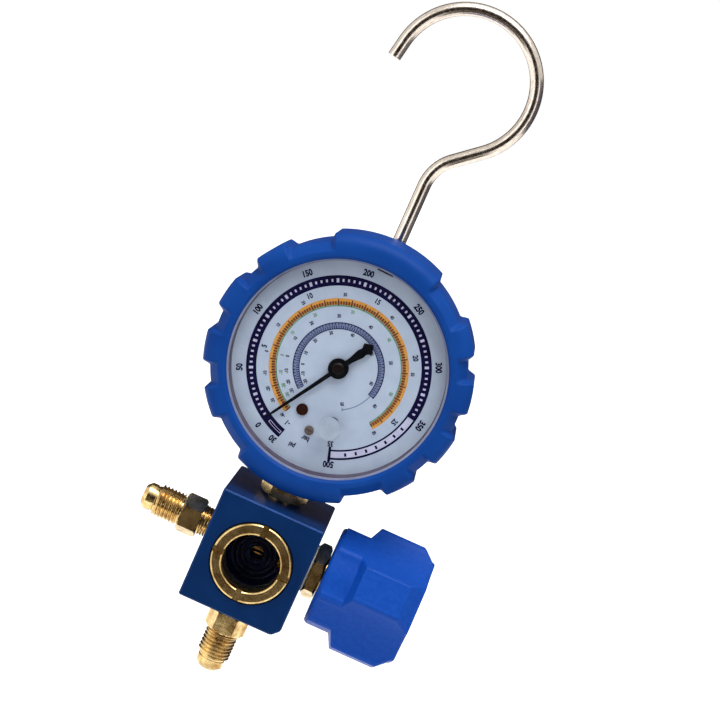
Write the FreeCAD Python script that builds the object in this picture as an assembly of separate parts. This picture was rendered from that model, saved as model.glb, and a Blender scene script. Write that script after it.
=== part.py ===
"""Refrigerant manifold gauge with one hand valve, a sight glass, a booted dial gauge and a hanging hook.

Sizes are in millimetres. The model is worked out about the centre of the manifold block: +Z is up towards the
hook, -Y is the front that carries the dial and the sight glass, and +X points at the valve knob. Heights inside the
gauge are counted from the dial's centre. At the end everything is shifted so that the origin is the point inside
the crown of the hook where the gauge hangs.
"""
import FreeCAD, Part
import math
import os

Vector = FreeCAD.Vector
RIGHT = Vector(1, 0, 0)
LEFT = Vector(-1, 0, 0)
BACK = Vector(0, 1, 0)
FRONT = Vector(0, -1, 0)
UP = Vector(0, 0, 1)
DOWN = Vector(0, 0, -1)

# Clearances between pieces
thread_gap = 0.05
running_gap = 0.05
seat_gap = 0.3

# Manifold block
block_width = 35.0
block_height = 38.0
block_front = -19.5
block_back = 20.5
block_bevel = 0.5
block_corner_cut = 2.5
valve_height = 1.5

# Taper pipe threads of the two ports and the gauge
pipe_radius = 5.13
pipe_engagement = 9.0

# Flare ports
port_neck_length = 3.8
port_hex_flats = 12.0
port_hex_length = 7.0
flare_thread_radius = 5.556
flare_thread_length = 8.8
flare_relief_radius = 4.6
flare_relief_length = 0.6
flare_undercut_length = 0.7
flare_nose_radius = 4.55
flare_face_radius = 3.15
flare_nose_length = 3.6
port_bore_radius = 2.2

# Sight glass
sight_ring_radius = 13.25
sight_ring_window_radius = 9.3
sight_ring_thread_radius = 12.7
sight_ring_proud = 0.9
sight_ring_flange = 1.5
sight_ring_length = 4.9
sight_ring_rounding = 1.0
sight_slot_width = 2.0
sight_slot_depth = 1.3
sight_recess_margin = 0.35
sight_glass_thickness = 3.8
sight_gasket_thickness = 1.0
sight_chamber_depth = 4.5
sight_port_radius = 2.5

# Hand valve
valve_seat_x = -4.0
valve_bore_radius = 4.5
valve_bonnet_depth = 10.0
bonnet_thread_radius = 7.0
bonnet_seal_thickness = 0.5
bonnet_hex_flats = 17.0
bonnet_hex_length = 4.4
gland_radius = 6.5
gland_length = 4.1
packing_radius = 4.4
packing_length = 2.4
stem_radius = 3.0
stem_tip_radius = 1.8
stem_tip_length = 2.5
stem_square = 4.6
piston_seal_radius = 3.0
piston_seal_thickness = 1.35
piston_nose_length = 5.6
piston_guide_length = 3.9
oring_section = 0.46
valve_lift = 3.0

# Knob
knob_gap = 5.2
knob_length = 32.0
knob_base_radius = 16.75
knob_lobe_radius = 21.2
knob_lobe_turn = 20.5
knob_valley_radius = 17.0
knob_face_width = 11.6
knob_step_start = 9.3
knob_step_end = 11.6
knob_bevel_length = 5.2
knob_bevel_depth = 4.6
knob_end_rounding = 1.4
knob_edge_rounding = 1.2
knob_lobe_rounding = 0.9
knob_socket_radius = 8.2
knob_socket_depth = 7.0
knob_screw_recess_radius = 4.4
knob_screw_recess_depth = 3.6
knob_screw_head_radius = 3.3
knob_screw_head_length = 2.2
knob_screw_radius = 1.5
knob_screw_length = 8.0

# Gauge stem
stem_exposed = 9.5
stem_neck_length = 0.6
stem_hex_flats = 14.0
stem_bore_radius = 1.5
socket_neck_radius = 6.0
socket_left = -12.0
socket_right = 8.0
socket_above_case_wall = 0.8
socket_high = -20.0

# Gauge case, window and bezel
case_radius = 38.0
case_wall = 1.0
case_back = 12.2
case_front = -10.0
case_bead = 0.6
case_bead_length = 1.2
case_corner_cut = 1.0
gasket_thickness = 1.1
lens_thickness = 1.4
bezel_wall = 0.6
bezel_cover = 3.2
bezel_flange = 0.7
bezel_bevel = 0.8
bezel_inner_slope = 1.3
bezel_skirt_back = -6.5
lens_plug_radius = 3.7
lens_plug_flange = 0.5
lens_plug_hole_radius = 2.95
lens_plug_circle_radius = 19.0
lens_plug_angle = 164.5
blowout_hole_radius = 5.5
blowout_flange_radius = 6.8
blowout_flange = 0.8
blowout_circle_radius = 18.0
blowout_angle = -50.0
case_screw_spacing = 11.0
case_screw_height = -28.0
case_screw_head_radius = 2.4
case_screw_head_length = 0.9
case_screw_radius = 1.25
case_screw_length = 6.0

# Rubber boot
boot_wall = 1.9
boot_lobe_height = 2.4
boot_front = -14.6
boot_back = 13.3
boot_front_cover = 3.5
boot_rear_cover = 4.0
boot_lip_bevel = 0.9
boot_slope_width = 2.6
boot_slope_length = 3.7
boot_back_bevel = 1.2
lobe_front_rounding = 3.3
lobe_back_bevel = 1.8
big_lobe_half_angle = 24.4
small_lobe_half_angle = 6.4
small_lobe_first = 53.5
small_lobe_pitch = 25.0
small_lobe_count = 4
lobe_flank_angle = 2.5

# Dial and pointer
dial_front = -8.3
dial_thickness = 0.6
dial_edge_gap = 1.1
dial_centre_hole = 1.6
dial_notch_width = 5.5
dial_notch_depth = 2.1
dial_notch_angle = 2.2
dial_screw_circle_radius = 17.8
dial_screw_angle = 162.6
dial_screw_radius = 1.0
dial_screw_head_radius = 1.9
dial_screw_head_length = 0.6
spacer_width = 1.4
spacer_slope = 0.4
zero_screw_circle_radius = 22.3
zero_screw_angle = -178.5
zero_screw_radius = 1.2
zero_screw_head_radius = 1.5
pointer_zero_angle = -147.8
pointer_length = 28.3
pointer_tail_length = 13.7
pointer_thickness = 0.3
pointer_front = -9.95
pointer_hub_radius = 3.3
pointer_hub_length = 1.3
pointer_cap_radius = 1.9
pointer_cap_length = 0.5

# Movement: a toothed sector turns the pinion on the pointer's arbor
gear_module = 0.3
pinion_teeth = 12
sector_full_teeth = 100
sector_first_tooth = -2
sector_last_tooth = 13
pressure_angle = 20.0
profile_shift = 0.3
tooth_backlash = 0.07
sector_thickness = 1.2
sector_front = -5.0
pinion_front = -5.6
pinion_length = 2.5
arbor_radius = 0.7
pivot_radius = 0.8
plate_thickness = 1.0
plate_half_width = 10.5
front_plate_low = -24.5
front_plate_high = 10.0
rear_plate_front = -1.5
rear_plate_low = -27.0
rear_plate_high = 10.0
pillar_radius = 1.5
pillar_places = ((-8.3, 6.5), (8.3, 6.5), (-8.6, -20.5), (8.6, -13.0))
movement_screw_places = ((-5.0, -23.6), (5.0, -23.6))
movement_screw_head_radius = 1.5
tail_length = 7.6
tail_width = 2.6
link_front = -3.5
link_thickness = 0.7
link_width = 1.8
link_pin_radius = 0.6
tube_radius = 27.0
tube_depth = 7.0
tube_thickness = 2.6
tube_wall = 0.4
tube_front = 1.5
tube_start_angle = -162.0
tube_end_angle = 128.0
tip_angle = 7.0
hairspring_inner_radius = 1.7
hairspring_pitch = 0.9
hairspring_half_turns = 9
hairspring_strip = 0.16
hairspring_width = 0.6
hairspring_front = -2.7

# Hook
hook_rod_radius = 2.25
hook_shank_offset = 0.7
hook_crown_radius = 23.5
hook_neck_radius = 20.9
hook_crown_offset = -1.0
hook_crown_height = 166.05
hook_arc_end = 169.3
hook_tip_length = 6.1
hook_plane = 16.0
hook_hole_depth = 22.0
hook_groove_depth = 0.5
hook_groove_length = 2.4
hook_groove_below_top = 9.0
set_screw_radius = 1.5
set_screw_tip_radius = 0.9

# Values worked out from the sizes above
half_width = block_width / 2
half_height = block_height / 2
bonnet_inner_end = half_width - valve_bonnet_depth
bonnet_hex_start = half_width + bonnet_seal_thickness
gland_end = bonnet_hex_start + bonnet_hex_length + gland_length
knob_base_x = half_width + knob_gap
knob_end_x = knob_base_x + knob_length
sight_floor = block_front - sight_ring_proud + sight_ring_length
sight_glass_back = sight_floor + thread_gap + sight_glass_thickness
sight_ledge = sight_glass_back + thread_gap + sight_gasket_thickness
sight_chamber_floor = sight_ledge + sight_chamber_depth
bezel_radius = case_radius + seat_gap + bezel_wall
bezel_opening_radius = case_radius - bezel_cover
gauge_height = half_height + stem_exposed + bezel_radius
stem_hex_start = half_height + stem_neck_length
socket_low = case_wall + socket_above_case_wall - case_radius
dial_radius = case_radius - case_wall - dial_edge_gap
boot_valley_radius = bezel_radius + seat_gap + boot_wall
boot_lobe_radius = boot_valley_radius + boot_lobe_height
boot_opening_radius = bezel_radius - boot_front_cover
boot_rear_opening_radius = case_radius - boot_rear_cover
boot_lip_radius = boot_valley_radius - boot_slope_width
lens_back = case_front - gasket_thickness
lens_front = lens_back - lens_thickness
bezel_front = lens_front - bezel_flange
front_plate_front = dial_front + dial_thickness
front_plate_back = front_plate_front + plate_thickness
rear_plate_back = rear_plate_front + plate_thickness
pinion_pitch_radius = gear_module * pinion_teeth / 2
sector_pitch_radius = gear_module * sector_full_teeth / 2
gear_distance = pinion_pitch_radius + sector_pitch_radius
tooth_pitch_angle = 360.0 / sector_full_teeth
sector_middle_angle = tooth_pitch_angle * (sector_first_tooth + sector_last_tooth) / 2
hook_neck_centre = hook_shank_offset + hook_neck_radius
hook_bend_height = hook_crown_height - math.sqrt(
    (hook_crown_radius + hook_neck_radius) ** 2 - (hook_neck_centre - hook_crown_offset) ** 2)
hook_bottom = half_height - hook_hole_depth + seat_gap
hook_groove_height = half_height - hook_groove_below_top
hanging_point = Vector(hook_crown_offset, hook_plane, hook_crown_height + hook_crown_radius - hook_rod_radius)


def polygon_face(corners):
    """Flat face whose straight outline runs through the corners and back to the first."""
    return Part.Face(Part.makePolygon(list(corners) + [corners[0]]))


def placed(shape, along, at):
    """Turn a shape built about +Z so that it points along the given direction, and move it to its place."""
    moved = shape.copy()
    moved.Placement = FreeCAD.Placement(at, FreeCAD.Rotation(UP, along))
    return moved


def turned(outline, along=UP, at=Vector(0, 0, 0)):
    """Solid of revolution from (radius, distance along the axis) corners."""
    face = polygon_face([Vector(radius, 0, distance) for radius, distance in outline])
    return placed(face.revolve(Vector(0, 0, 0), UP, 360), along, at)


def rod(radius, start, end, along=UP, at=Vector(0, 0, 0)):
    """Round bar from one distance to another along its axis."""
    return placed(Part.makeCylinder(radius, end - start, Vector(0, 0, start)), along, at)


def tube(inner, outer, start, end, along=UP, at=Vector(0, 0, 0)):
    """Round bar with a round hole through it."""
    return rod(outer, start, end, along, at).cut(rod(inner, start, end, along, at))


def slab(low_x, high_x, low_y, high_y, low_z, high_z):
    """Rectangular block between two opposite corners."""
    return Part.makeBox(high_x - low_x, high_y - low_y, high_z - low_z, Vector(low_x, low_y, low_z))


def hexagon(flats, start, end, turn=0.0):
    """Hexagonal prism about +Z whose corners are bevelled at both ends as a turned nut's are."""
    corner = flats / math.sqrt(3)
    corners = [Vector(corner * math.cos(math.radians(60 * k + turn)), corner * math.sin(math.radians(60 * k + turn)),
                      start) for k in range(6)]
    prism = polygon_face(corners).extrude(Vector(0, 0, end - start))
    bevel_radius = flats / 2 * 0.97
    bevel = (corner - bevel_radius) * math.tan(math.radians(30))
    barrel = turned([(0, start), (bevel_radius, start), (corner, start + bevel), (corner, end - bevel),
                     (bevel_radius, end), (0, end)])
    return prism.common(barrel)


def rounded(shape, radius, chosen):
    """Fillet the edges that the test function picks."""
    return shape.makeFillet(radius, [edge for edge in shape.Edges if chosen(edge)])


def in_gauge(distance, angle, y=0.0):
    """Point in the gauge at a distance from its centre; the angle runs clockwise from the top of the dial."""
    return Vector(distance * math.sin(math.radians(angle)), y, gauge_height + distance * math.cos(math.radians(angle)))


def about_gauge(shape):
    """Lay a shape built about +Z on the gauge's axis, its +Z turned to the back and its +Y to the bottom."""
    return placed(shape, BACK, Vector(0, 0, gauge_height))


def gauge_turned(outline):
    """Solid of revolution about the gauge's axis from (radius, y) corners."""
    return about_gauge(turned(outline))


def gauge_rod(radius, start_y, end_y, at=(0.0, 0.0)):
    """Round bar along Y at (right, up) from the dial's centre."""
    return rod(radius, start_y, end_y, BACK, Vector(at[0], 0, gauge_height + at[1]))


def polar(distance, angle):
    """(right, up) of a point at a clockwise angle from the top of the dial."""
    return distance * math.sin(math.radians(angle)), distance * math.cos(math.radians(angle))


def manifold_block():
    """Drilled block: two ports, the gauge, the valve, the sight chamber and the hook all enter it."""
    block = slab(-half_width, half_width, block_front, block_back, -half_height, half_height)
    cut_edges = [edge for edge in block.Edges
                 if edge.BoundBox.XMin > half_width - 0.01 and edge.BoundBox.ZMax < 0.01 - half_height]
    block = block.makeChamfer(block_corner_cut, cut_edges)
    block = block.makeChamfer(block_bevel, block.Edges)
    valve_at = Vector(0, 0, valve_height)
    tapped = pipe_radius + thread_gap
    cuts = [
        rod(tapped, half_width - pipe_engagement, half_width + 1, LEFT, valve_at),
        rod(port_bore_radius, -valve_seat_x - 1, half_width, LEFT, valve_at),
        rod(tapped, half_height - pipe_engagement, half_height + 1, DOWN),
        rod(port_bore_radius, 0, half_height, DOWN),
        rod(tapped, half_height - pipe_engagement, half_height + 1, UP),
        gauge_feed_passage(),
        rod(valve_bore_radius, valve_seat_x, half_width, RIGHT, valve_at),
        rod(bonnet_thread_radius + thread_gap, bonnet_inner_end, half_width + 1, RIGHT, valve_at),
        rod(sight_ring_radius + sight_recess_margin, -block_front - sight_ring_flange, 1 - block_front, FRONT),
        rod(sight_ring_thread_radius + thread_gap, -sight_ledge, -block_front, FRONT),
        rod(sight_ring_window_radius, -sight_chamber_floor, -block_front, FRONT),
        rod(sight_port_radius, 0, -block_front, FRONT),
        rod(hook_rod_radius + running_gap, half_height - hook_hole_depth, half_height + 1, UP,
            Vector(hook_shank_offset, hook_plane, 0)),
        rod(set_screw_radius, hook_plane, block_back + 1, BACK, Vector(hook_shank_offset, 0, hook_groove_height)),
    ]
    for cut in cuts:
        block = block.cut(cut)
    return block


def gauge_feed_passage():
    """Slanted drilling from the gauge's hole to the left port's passage, upstream of the valve seat."""
    top = Vector(0, 0, half_height - pipe_engagement + 1)
    foot = Vector((valve_seat_x - half_width) / 2 + 2, 0, valve_height)
    along = foot.sub(top)
    return rod(stem_bore_radius * 0.7, 0, along.Length, along, top)


def flare_port(along, at, turn):
    """Male flare fitting: pipe thread in the block, hexagon, flare thread and bevelled nose, drilled through."""
    hex_start = port_neck_length
    hex_end = hex_start + port_hex_length
    thread_start = hex_end + flare_relief_length
    thread_end = thread_start + flare_thread_length
    nose_start = thread_end + flare_undercut_length
    nose_end = nose_start + flare_nose_length
    nose_bevel = flare_nose_radius - flare_face_radius
    shank = turned([
        (0, seat_gap - pipe_engagement), (pipe_radius - 0.5, seat_gap - pipe_engagement),
        (pipe_radius, seat_gap - pipe_engagement + 0.5), (pipe_radius, hex_start),
        (flare_relief_radius, hex_start), (flare_relief_radius, thread_start),
        (flare_thread_radius, thread_start), (flare_thread_radius, thread_end),
        (flare_relief_radius - 0.35, thread_end), (flare_relief_radius - 0.35, nose_start),
        (flare_nose_radius, nose_start), (flare_nose_radius, nose_end - nose_bevel),
        (flare_face_radius, nose_end), (0, nose_end)])
    body = shank.fuse(hexagon(port_hex_flats, hex_start, hex_end, turn)).removeSplitter()
    body = body.cut(rod(port_bore_radius, -pipe_engagement, nose_end + 1))
    return placed(body, along, at)


def left_service_port():
    """Port on the left face; a corner of its hexagon faces the front."""
    return flare_port(LEFT, Vector(-half_width, 0, valve_height), 30.0)


def bottom_service_port():
    """Port under the block; a flat of its hexagon faces the front."""
    return flare_port(DOWN, Vector(0, 0, -half_height), 0.0)


def sight_glass_ring():
    """Ring nut with four spanner slots that holds the sight glass."""
    front = -block_front + sight_ring_proud
    back = front - sight_ring_length
    shoulder = front - sight_recess_depth()
    ring = turned([
        (sight_ring_window_radius, back), (sight_ring_thread_radius, back), (sight_ring_thread_radius, shoulder),
        (sight_ring_radius, shoulder), (sight_ring_radius, front), (sight_ring_window_radius, front)], FRONT)
    ring = rounded(ring, sight_ring_rounding, lambda edge: edge.BoundBox.YMax < 0.01 - front)
    for across_x in (True, False):
        half_slot = sight_slot_width / 2
        reach = sight_ring_radius + 1
        if across_x:
            slot = slab(-reach, reach, -front - 1, -front + sight_slot_depth, -half_slot, half_slot)
        else:
            slot = slab(-half_slot, half_slot, -front - 1, -front + sight_slot_depth, -reach, reach)
        ring = ring.cut(slot)
    return ring


def sight_recess_depth():
    """How much of the ring nut's length is its flange, which sinks into the recess in the block's face."""
    return sight_ring_proud + sight_ring_flange - thread_gap


def sight_glass():
    """Thick glass disc behind the ring nut."""
    edge_radius = sight_ring_thread_radius - 0.2
    return rod(edge_radius, -sight_glass_back, -sight_floor - thread_gap, FRONT)


def sight_glass_gasket():
    """Flat seal between the glass and the ledge of the chamber."""
    edge_radius = sight_ring_thread_radius - 0.2
    return tube(sight_ring_window_radius, edge_radius, -sight_ledge, -sight_glass_back - thread_gap, FRONT)


def valve_bonnet():
    """Screwed-in hexagon that guides the stem, with a gland boss that reaches into the knob."""
    at = Vector(0, 0, valve_height)
    hex_end = bonnet_hex_start + bonnet_hex_length
    body = rod(bonnet_thread_radius, bonnet_inner_end, bonnet_hex_start)
    body = body.fuse(hexagon(bonnet_hex_flats, bonnet_hex_start, hex_end))
    body = body.fuse(turned([(0, hex_end), (gland_radius, hex_end), (gland_radius, gland_end - 0.8),
                             (gland_radius - 0.8, gland_end), (0, gland_end)])).removeSplitter()
    piston_room = bonnet_inner_end + valve_lift + 1
    body = body.cut(rod(valve_bore_radius, bonnet_inner_end - 1, piston_room))
    body = body.cut(rod(stem_radius + running_gap, bonnet_inner_end - 1, gland_end + 1))
    body = body.cut(rod(packing_radius + thread_gap, gland_end - packing_length, gland_end + 1))
    return placed(body, RIGHT, at)


def bonnet_seal():
    """Washer between the block and the bonnet."""
    return tube(bonnet_thread_radius + thread_gap, bonnet_hex_flats / 2 - 0.4, half_width, bonnet_hex_start, RIGHT,
                Vector(0, 0, valve_height))


def stem_packing():
    """Packing ring round the stem in the mouth of the gland."""
    return tube(stem_radius + running_gap, packing_radius, gland_end - packing_length + thread_gap,
                gland_end - 0.4, RIGHT, Vector(0, 0, valve_height))


def piston_start():
    """Place of the piston's nose along the valve axis with the valve shut."""
    return valve_seat_x + thread_gap + piston_seal_thickness


def piston_guide_start():
    """Where the piston's nose widens to its guide."""
    return piston_start() + piston_nose_length


def valve_piston():
    """Sliding piston: a slim nose with the seal, and a guide with a groove for its ring."""
    start = piston_start()
    guide_start = piston_guide_start()
    guide_end = guide_start + piston_guide_length
    guide_radius = valve_bore_radius - running_gap
    body = turned([(0, start), (piston_seal_radius, start), (piston_seal_radius, guide_start - 0.6),
                   (guide_radius, guide_start), (guide_radius, guide_end), (0, guide_end)])
    groove_middle = guide_start + piston_guide_length / 2
    body = body.cut(tube(guide_radius - 2 * oring_section - 0.04, guide_radius + 1,
                         groove_middle - 0.7, groove_middle + 0.7))
    body = body.cut(rod(stem_tip_radius + running_gap, guide_end - stem_tip_length, guide_end + 1))
    return placed(body, RIGHT, Vector(0, 0, valve_height))


def piston_seal():
    """Soft disc on the piston's nose that closes the seat."""
    return rod(piston_seal_radius, valve_seat_x + thread_gap, piston_start(), RIGHT, Vector(0, 0, valve_height))


def piston_oring():
    """Ring seal in the piston's groove."""
    ring_radius = valve_bore_radius - running_gap - oring_section
    middle = piston_guide_start() + piston_guide_length / 2
    return placed(Part.makeTorus(ring_radius, oring_section), RIGHT, Vector(middle, 0, valve_height))


def valve_stem():
    """Screwed stem: round tip in the piston, round body in the bonnet, square end in the knob."""
    tip_end = piston_guide_start() + piston_guide_length + seat_gap
    square_start = gland_end + 1.5
    square_end = knob_end_x - knob_screw_recess_depth - seat_gap
    half = stem_square / 2
    body = turned([(0, tip_end - stem_tip_length), (stem_tip_radius, tip_end - stem_tip_length),
                   (stem_tip_radius, tip_end), (stem_radius, tip_end), (stem_radius, square_start), (0, square_start)])
    square = slab(-half, half, -half, half, square_start, square_end)
    body = body.fuse(square).removeSplitter()
    body = body.cut(rod(knob_screw_radius + 0.02, square_end - knob_screw_length, square_end + 1))
    return placed(body, RIGHT, Vector(0, 0, valve_height))


def knob_section(length):
    """Four flat faces joined by hollow valleys, drawn about +Z and extruded."""
    half_face = knob_face_width / 2
    edges = []
    for k in range(4):
        turn = math.radians(90 * k)

        def at(x, y):
            return Vector(x * math.cos(turn) - y * math.sin(turn), x * math.sin(turn) + y * math.cos(turn), 0)

        valley = knob_valley_radius / math.sqrt(2)
        start = at(knob_lobe_radius, -half_face)
        corner = at(knob_lobe_radius, half_face)
        next_corner = at(half_face, knob_lobe_radius)
        edges.append(Part.LineSegment(start, corner).toShape())
        edges.append(Part.Arc(corner, at(valley, valley), next_corner).toShape())
    return Part.Face(Part.Wire(edges)).extrude(Vector(0, 0, length))


def knob_side_view(length):
    """Straight-sided outline of the lobes seen from the side, as a prism that is as deep as it needs to be."""
    low = knob_base_radius - 0.4
    high = knob_lobe_radius + 0.01
    outline = [(low, knob_step_start), (high, knob_step_end), (high, length - knob_bevel_length),
               (high - knob_bevel_depth, length)]
    corners = [Vector(x, -2 * high, z) for x, z in outline]
    corners += [Vector(-x, -2 * high, z) for x, z in reversed(outline)]
    return polygon_face(corners).extrude(Vector(0, 4 * high, 0))


def knob():
    """Moulded handle: round skirt, four lobes with flat faces, bevelled end, socket for the gland."""
    lobes = knob_section(knob_length)
    side = knob_side_view(knob_length)
    quarter_side = side.copy()
    quarter_side.rotate(Vector(0, 0, 0), UP, 90)
    lobes = lobes.common(side).common(quarter_side)
    end_radius = knob_valley_radius + 2.2
    reach = knob_lobe_radius + 3
    lobes = lobes.common(turned([
        (0, 0), (reach, 0), (reach, knob_length - 6), (end_radius, knob_length - knob_end_rounding),
        (end_radius - knob_end_rounding, knob_length), (0, knob_length)]))
    lobes = rounded(lobes, knob_lobe_rounding, lambda edge: edge.BoundBox.ZMax > knob_step_start + 0.1)
    lobes.rotate(Vector(0, 0, 0), UP, -knob_lobe_turn)
    skirt = turned([(0, 0), (knob_base_radius, 0), (knob_base_radius, knob_step_start + 2),
                    (knob_valley_radius - 2, knob_step_start + 4), (0, knob_step_start + 4)])
    skirt = rounded(skirt, knob_edge_rounding, lambda edge: edge.BoundBox.ZMax < 0.01)
    body = skirt.fuse(lobes).removeSplitter()
    half = stem_square / 2 + running_gap
    body = body.cut(rod(knob_socket_radius, -1, knob_socket_depth))
    body = body.cut(slab(-half, half, -half, half, 0, knob_length))
    body = body.cut(rod(knob_screw_recess_radius, knob_length - knob_screw_recess_depth, knob_length + 1))
    return placed(body, RIGHT, Vector(knob_base_x, 0, valve_height))


def knob_screw():
    """Screw that holds the knob on the stem, sunk in the recess at the knob's end."""
    seat = knob_end_x - knob_screw_recess_depth
    head = turned([(0, seat), (knob_screw_head_radius, seat), (knob_screw_head_radius, seat + 1.2),
                   (knob_screw_head_radius - 1.0, seat + knob_screw_head_length),
                   (0, seat + knob_screw_head_length)])
    shank = rod(knob_screw_radius, seat - knob_screw_length + 0.5, seat)
    return placed(head.fuse(shank).removeSplitter(), RIGHT, Vector(0, 0, valve_height))


def gauge_socket():
    """Brass connection of the gauge: pipe thread, hexagon, neck through the case and the block inside it."""
    neck_low = gauge_height + socket_low
    hex_end = gauge_height - bezel_radius - seat_gap
    foot = half_height - pipe_engagement + seat_gap
    foot_bevel = 0.5
    stem = turned([
        (0, foot), (pipe_radius - foot_bevel, foot), (pipe_radius, foot + foot_bevel), (pipe_radius, stem_hex_start),
        (socket_neck_radius, stem_hex_start), (socket_neck_radius, neck_low + 1), (0, neck_low + 1)])
    stem = stem.fuse(hexagon(stem_hex_flats, stem_hex_start, hex_end))
    inner = slab(socket_left, socket_right, rear_plate_back, case_back - case_wall, neck_low,
                 gauge_height + socket_high)
    stem = stem.fuse(inner.common(case_hollow())).removeSplitter()
    feed_height = gauge_height - tube_radius * math.cos(math.radians(180 + tube_start_angle))
    feed_depth = tube_front + tube_depth / 2
    stem = stem.cut(rod(stem_bore_radius, 0, feed_height))
    stem = stem.cut(rod(stem_bore_radius, 0, feed_depth, BACK, Vector(0, 0, feed_height)))
    stem = stem.cut(rod(stem_bore_radius * 0.6, 0, tube_radius * 0.3, LEFT, Vector(0, feed_depth, feed_height)))
    stem = stem.cut(bourdon_bar(thread_gap))
    for place in movement_screw_places:
        stem = stem.cut(gauge_rod(dial_screw_radius, rear_plate_back, 4.0, place))
    for side in (-1, 1):
        stem = stem.cut(gauge_rod(case_screw_radius, case_back - case_screw_length - 0.3, case_back,
                                  (side * case_screw_spacing / 2, case_screw_height)))
    return stem


def case_hollow():
    """Room inside the case: narrower at the beaded mouth, with a rounded-off bottom corner."""
    inner = case_radius - case_wall
    floor = case_back - case_wall
    bead_end = case_front + case_bead_length
    return gauge_turned([
        (0, case_front), (inner - case_bead, case_front), (inner - case_bead, bead_end),
        (inner, bead_end + case_bead), (inner, floor - case_corner_cut), (inner - case_corner_cut, floor), (0, floor)])


def gauge_case():
    """Pressed cup with a bead at its mouth, a hole for the stem, screw holes and a blow-out hole."""
    corner = case_corner_cut + case_wall / 2
    cup = gauge_turned([
        (0, case_back), (case_radius - corner, case_back), (case_radius, case_back - corner),
        (case_radius, case_front), (0, case_front)])
    cup = cup.cut(case_hollow())
    cup = cup.cut(rod(socket_neck_radius + seat_gap, 0, gauge_height - case_radius / 2))
    blowout = polar(blowout_circle_radius, blowout_angle)
    cup = cup.cut(gauge_rod(blowout_hole_radius, case_back - 2, case_back + 1, blowout))
    for side in (-1, 1):
        cup = cup.cut(gauge_rod(case_screw_radius + 0.1, case_back - 2, case_back + 1,
                                (side * case_screw_spacing / 2, case_screw_height)))
    return cup


def case_screws():
    """Two screws from the back that hold the case on the socket."""
    screws = []
    for side in (-1, 1):
        place = (side * case_screw_spacing / 2, case_screw_height)
        head = gauge_rod(case_screw_head_radius, case_back, case_back + case_screw_head_length, place)
        shank = gauge_rod(case_screw_radius - 0.02, case_back - case_screw_length, case_back, place)
        screws.append(head.fuse(shank).removeSplitter())
    return Part.makeCompound(screws)


def blowout_plug():
    """Rubber safety plug in the back of the case."""
    place = polar(blowout_circle_radius, blowout_angle)
    flange = gauge_rod(blowout_flange_radius, case_back, case_back + blowout_flange, place)
    shank = gauge_rod(blowout_hole_radius - thread_gap, case_back - case_wall - blowout_flange, case_back, place)
    return flange.fuse(shank).removeSplitter()


def bezel_ring():
    """Snap-on ring that clamps the window, with a sloping inner edge."""
    inner = bezel_radius - bezel_wall
    return gauge_turned([
        (bezel_opening_radius, lens_front), (bezel_opening_radius, lens_front - 0.2),
        (bezel_opening_radius + bezel_inner_slope, bezel_front), (bezel_radius - bezel_bevel, bezel_front),
        (bezel_radius, bezel_front + bezel_bevel), (bezel_radius, bezel_skirt_back), (inner, bezel_skirt_back),
        (inner, lens_front)])


def lens():
    """Clear window with a hole for its plug."""
    disc = gauge_turned([(0, lens_back), (case_radius, lens_back), (case_radius, lens_front), (0, lens_front)])
    plug_at = polar(lens_plug_circle_radius, lens_plug_angle)
    return disc.cut(gauge_rod(lens_plug_hole_radius, lens_front - 1, lens_back + 1, plug_at))


def lens_plug():
    """Translucent plug in the window's access hole, near the zero screw."""
    place = polar(lens_plug_circle_radius, lens_plug_angle)
    shank = gauge_rod(lens_plug_hole_radius - running_gap, lens_front, lens_back + 0.2, place)
    flange = gauge_rod(lens_plug_radius, lens_front - lens_plug_flange, lens_front, place)
    return flange.fuse(shank).removeSplitter()


def lens_gasket():
    """Soft ring between the case's mouth and the window."""
    return gauge_turned([(case_radius - 1.6, case_front), (case_radius - 0.1, case_front),
                         (case_radius - 0.1, lens_back), (case_radius - 1.6, lens_back)])


def dial_spacer():
    """Dark ring between the window and the dial, whose inner face slopes in towards the dial."""
    front = lens_back + running_gap
    back = dial_front - running_gap
    inner = dial_radius - spacer_width
    return gauge_turned([(inner + spacer_slope, front), (dial_radius, front), (dial_radius, back), (inner, back)])


def lobe_angles():
    """Middle and half width of every lobe of the boot: two big ones, and small ones in pairs."""
    lobes = [(0.0, big_lobe_half_angle), (180.0, big_lobe_half_angle)]
    for k in range(small_lobe_count):
        middle = small_lobe_first + k * small_lobe_pitch
        lobes.append((middle, small_lobe_half_angle))
        lobes.append((-middle, small_lobe_half_angle))
    return lobes


def lobe_wedge(middle, half_angle):
    """Fan-shaped prism over one lobe whose flanks slope from the crest down to the valley."""
    foot_radius = boot_lip_radius - 1
    flank = lobe_flank_angle * (boot_lobe_radius - foot_radius) / boot_lobe_height
    y = boot_front - 1
    foot_start = in_gauge(foot_radius, middle - half_angle - flank, y)
    foot_end = in_gauge(foot_radius, middle + half_angle + flank, y)
    crest_start = in_gauge(boot_lobe_radius + 0.01, middle - half_angle, y)
    crest_end = in_gauge(boot_lobe_radius + 0.01, middle + half_angle, y)
    crest_middle = in_gauge(boot_lobe_radius + 0.01, middle, y)
    foot_middle = in_gauge(foot_radius, middle, y)
    wire = Part.Wire([
        Part.LineSegment(foot_start, crest_start).toShape(), Part.Arc(crest_start, crest_middle, crest_end).toShape(),
        Part.LineSegment(crest_end, foot_end).toShape(), Part.Arc(foot_end, foot_middle, foot_start).toShape()])
    return Part.Face(wire).extrude(Vector(0, boot_back - boot_front + 2, 0))


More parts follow.
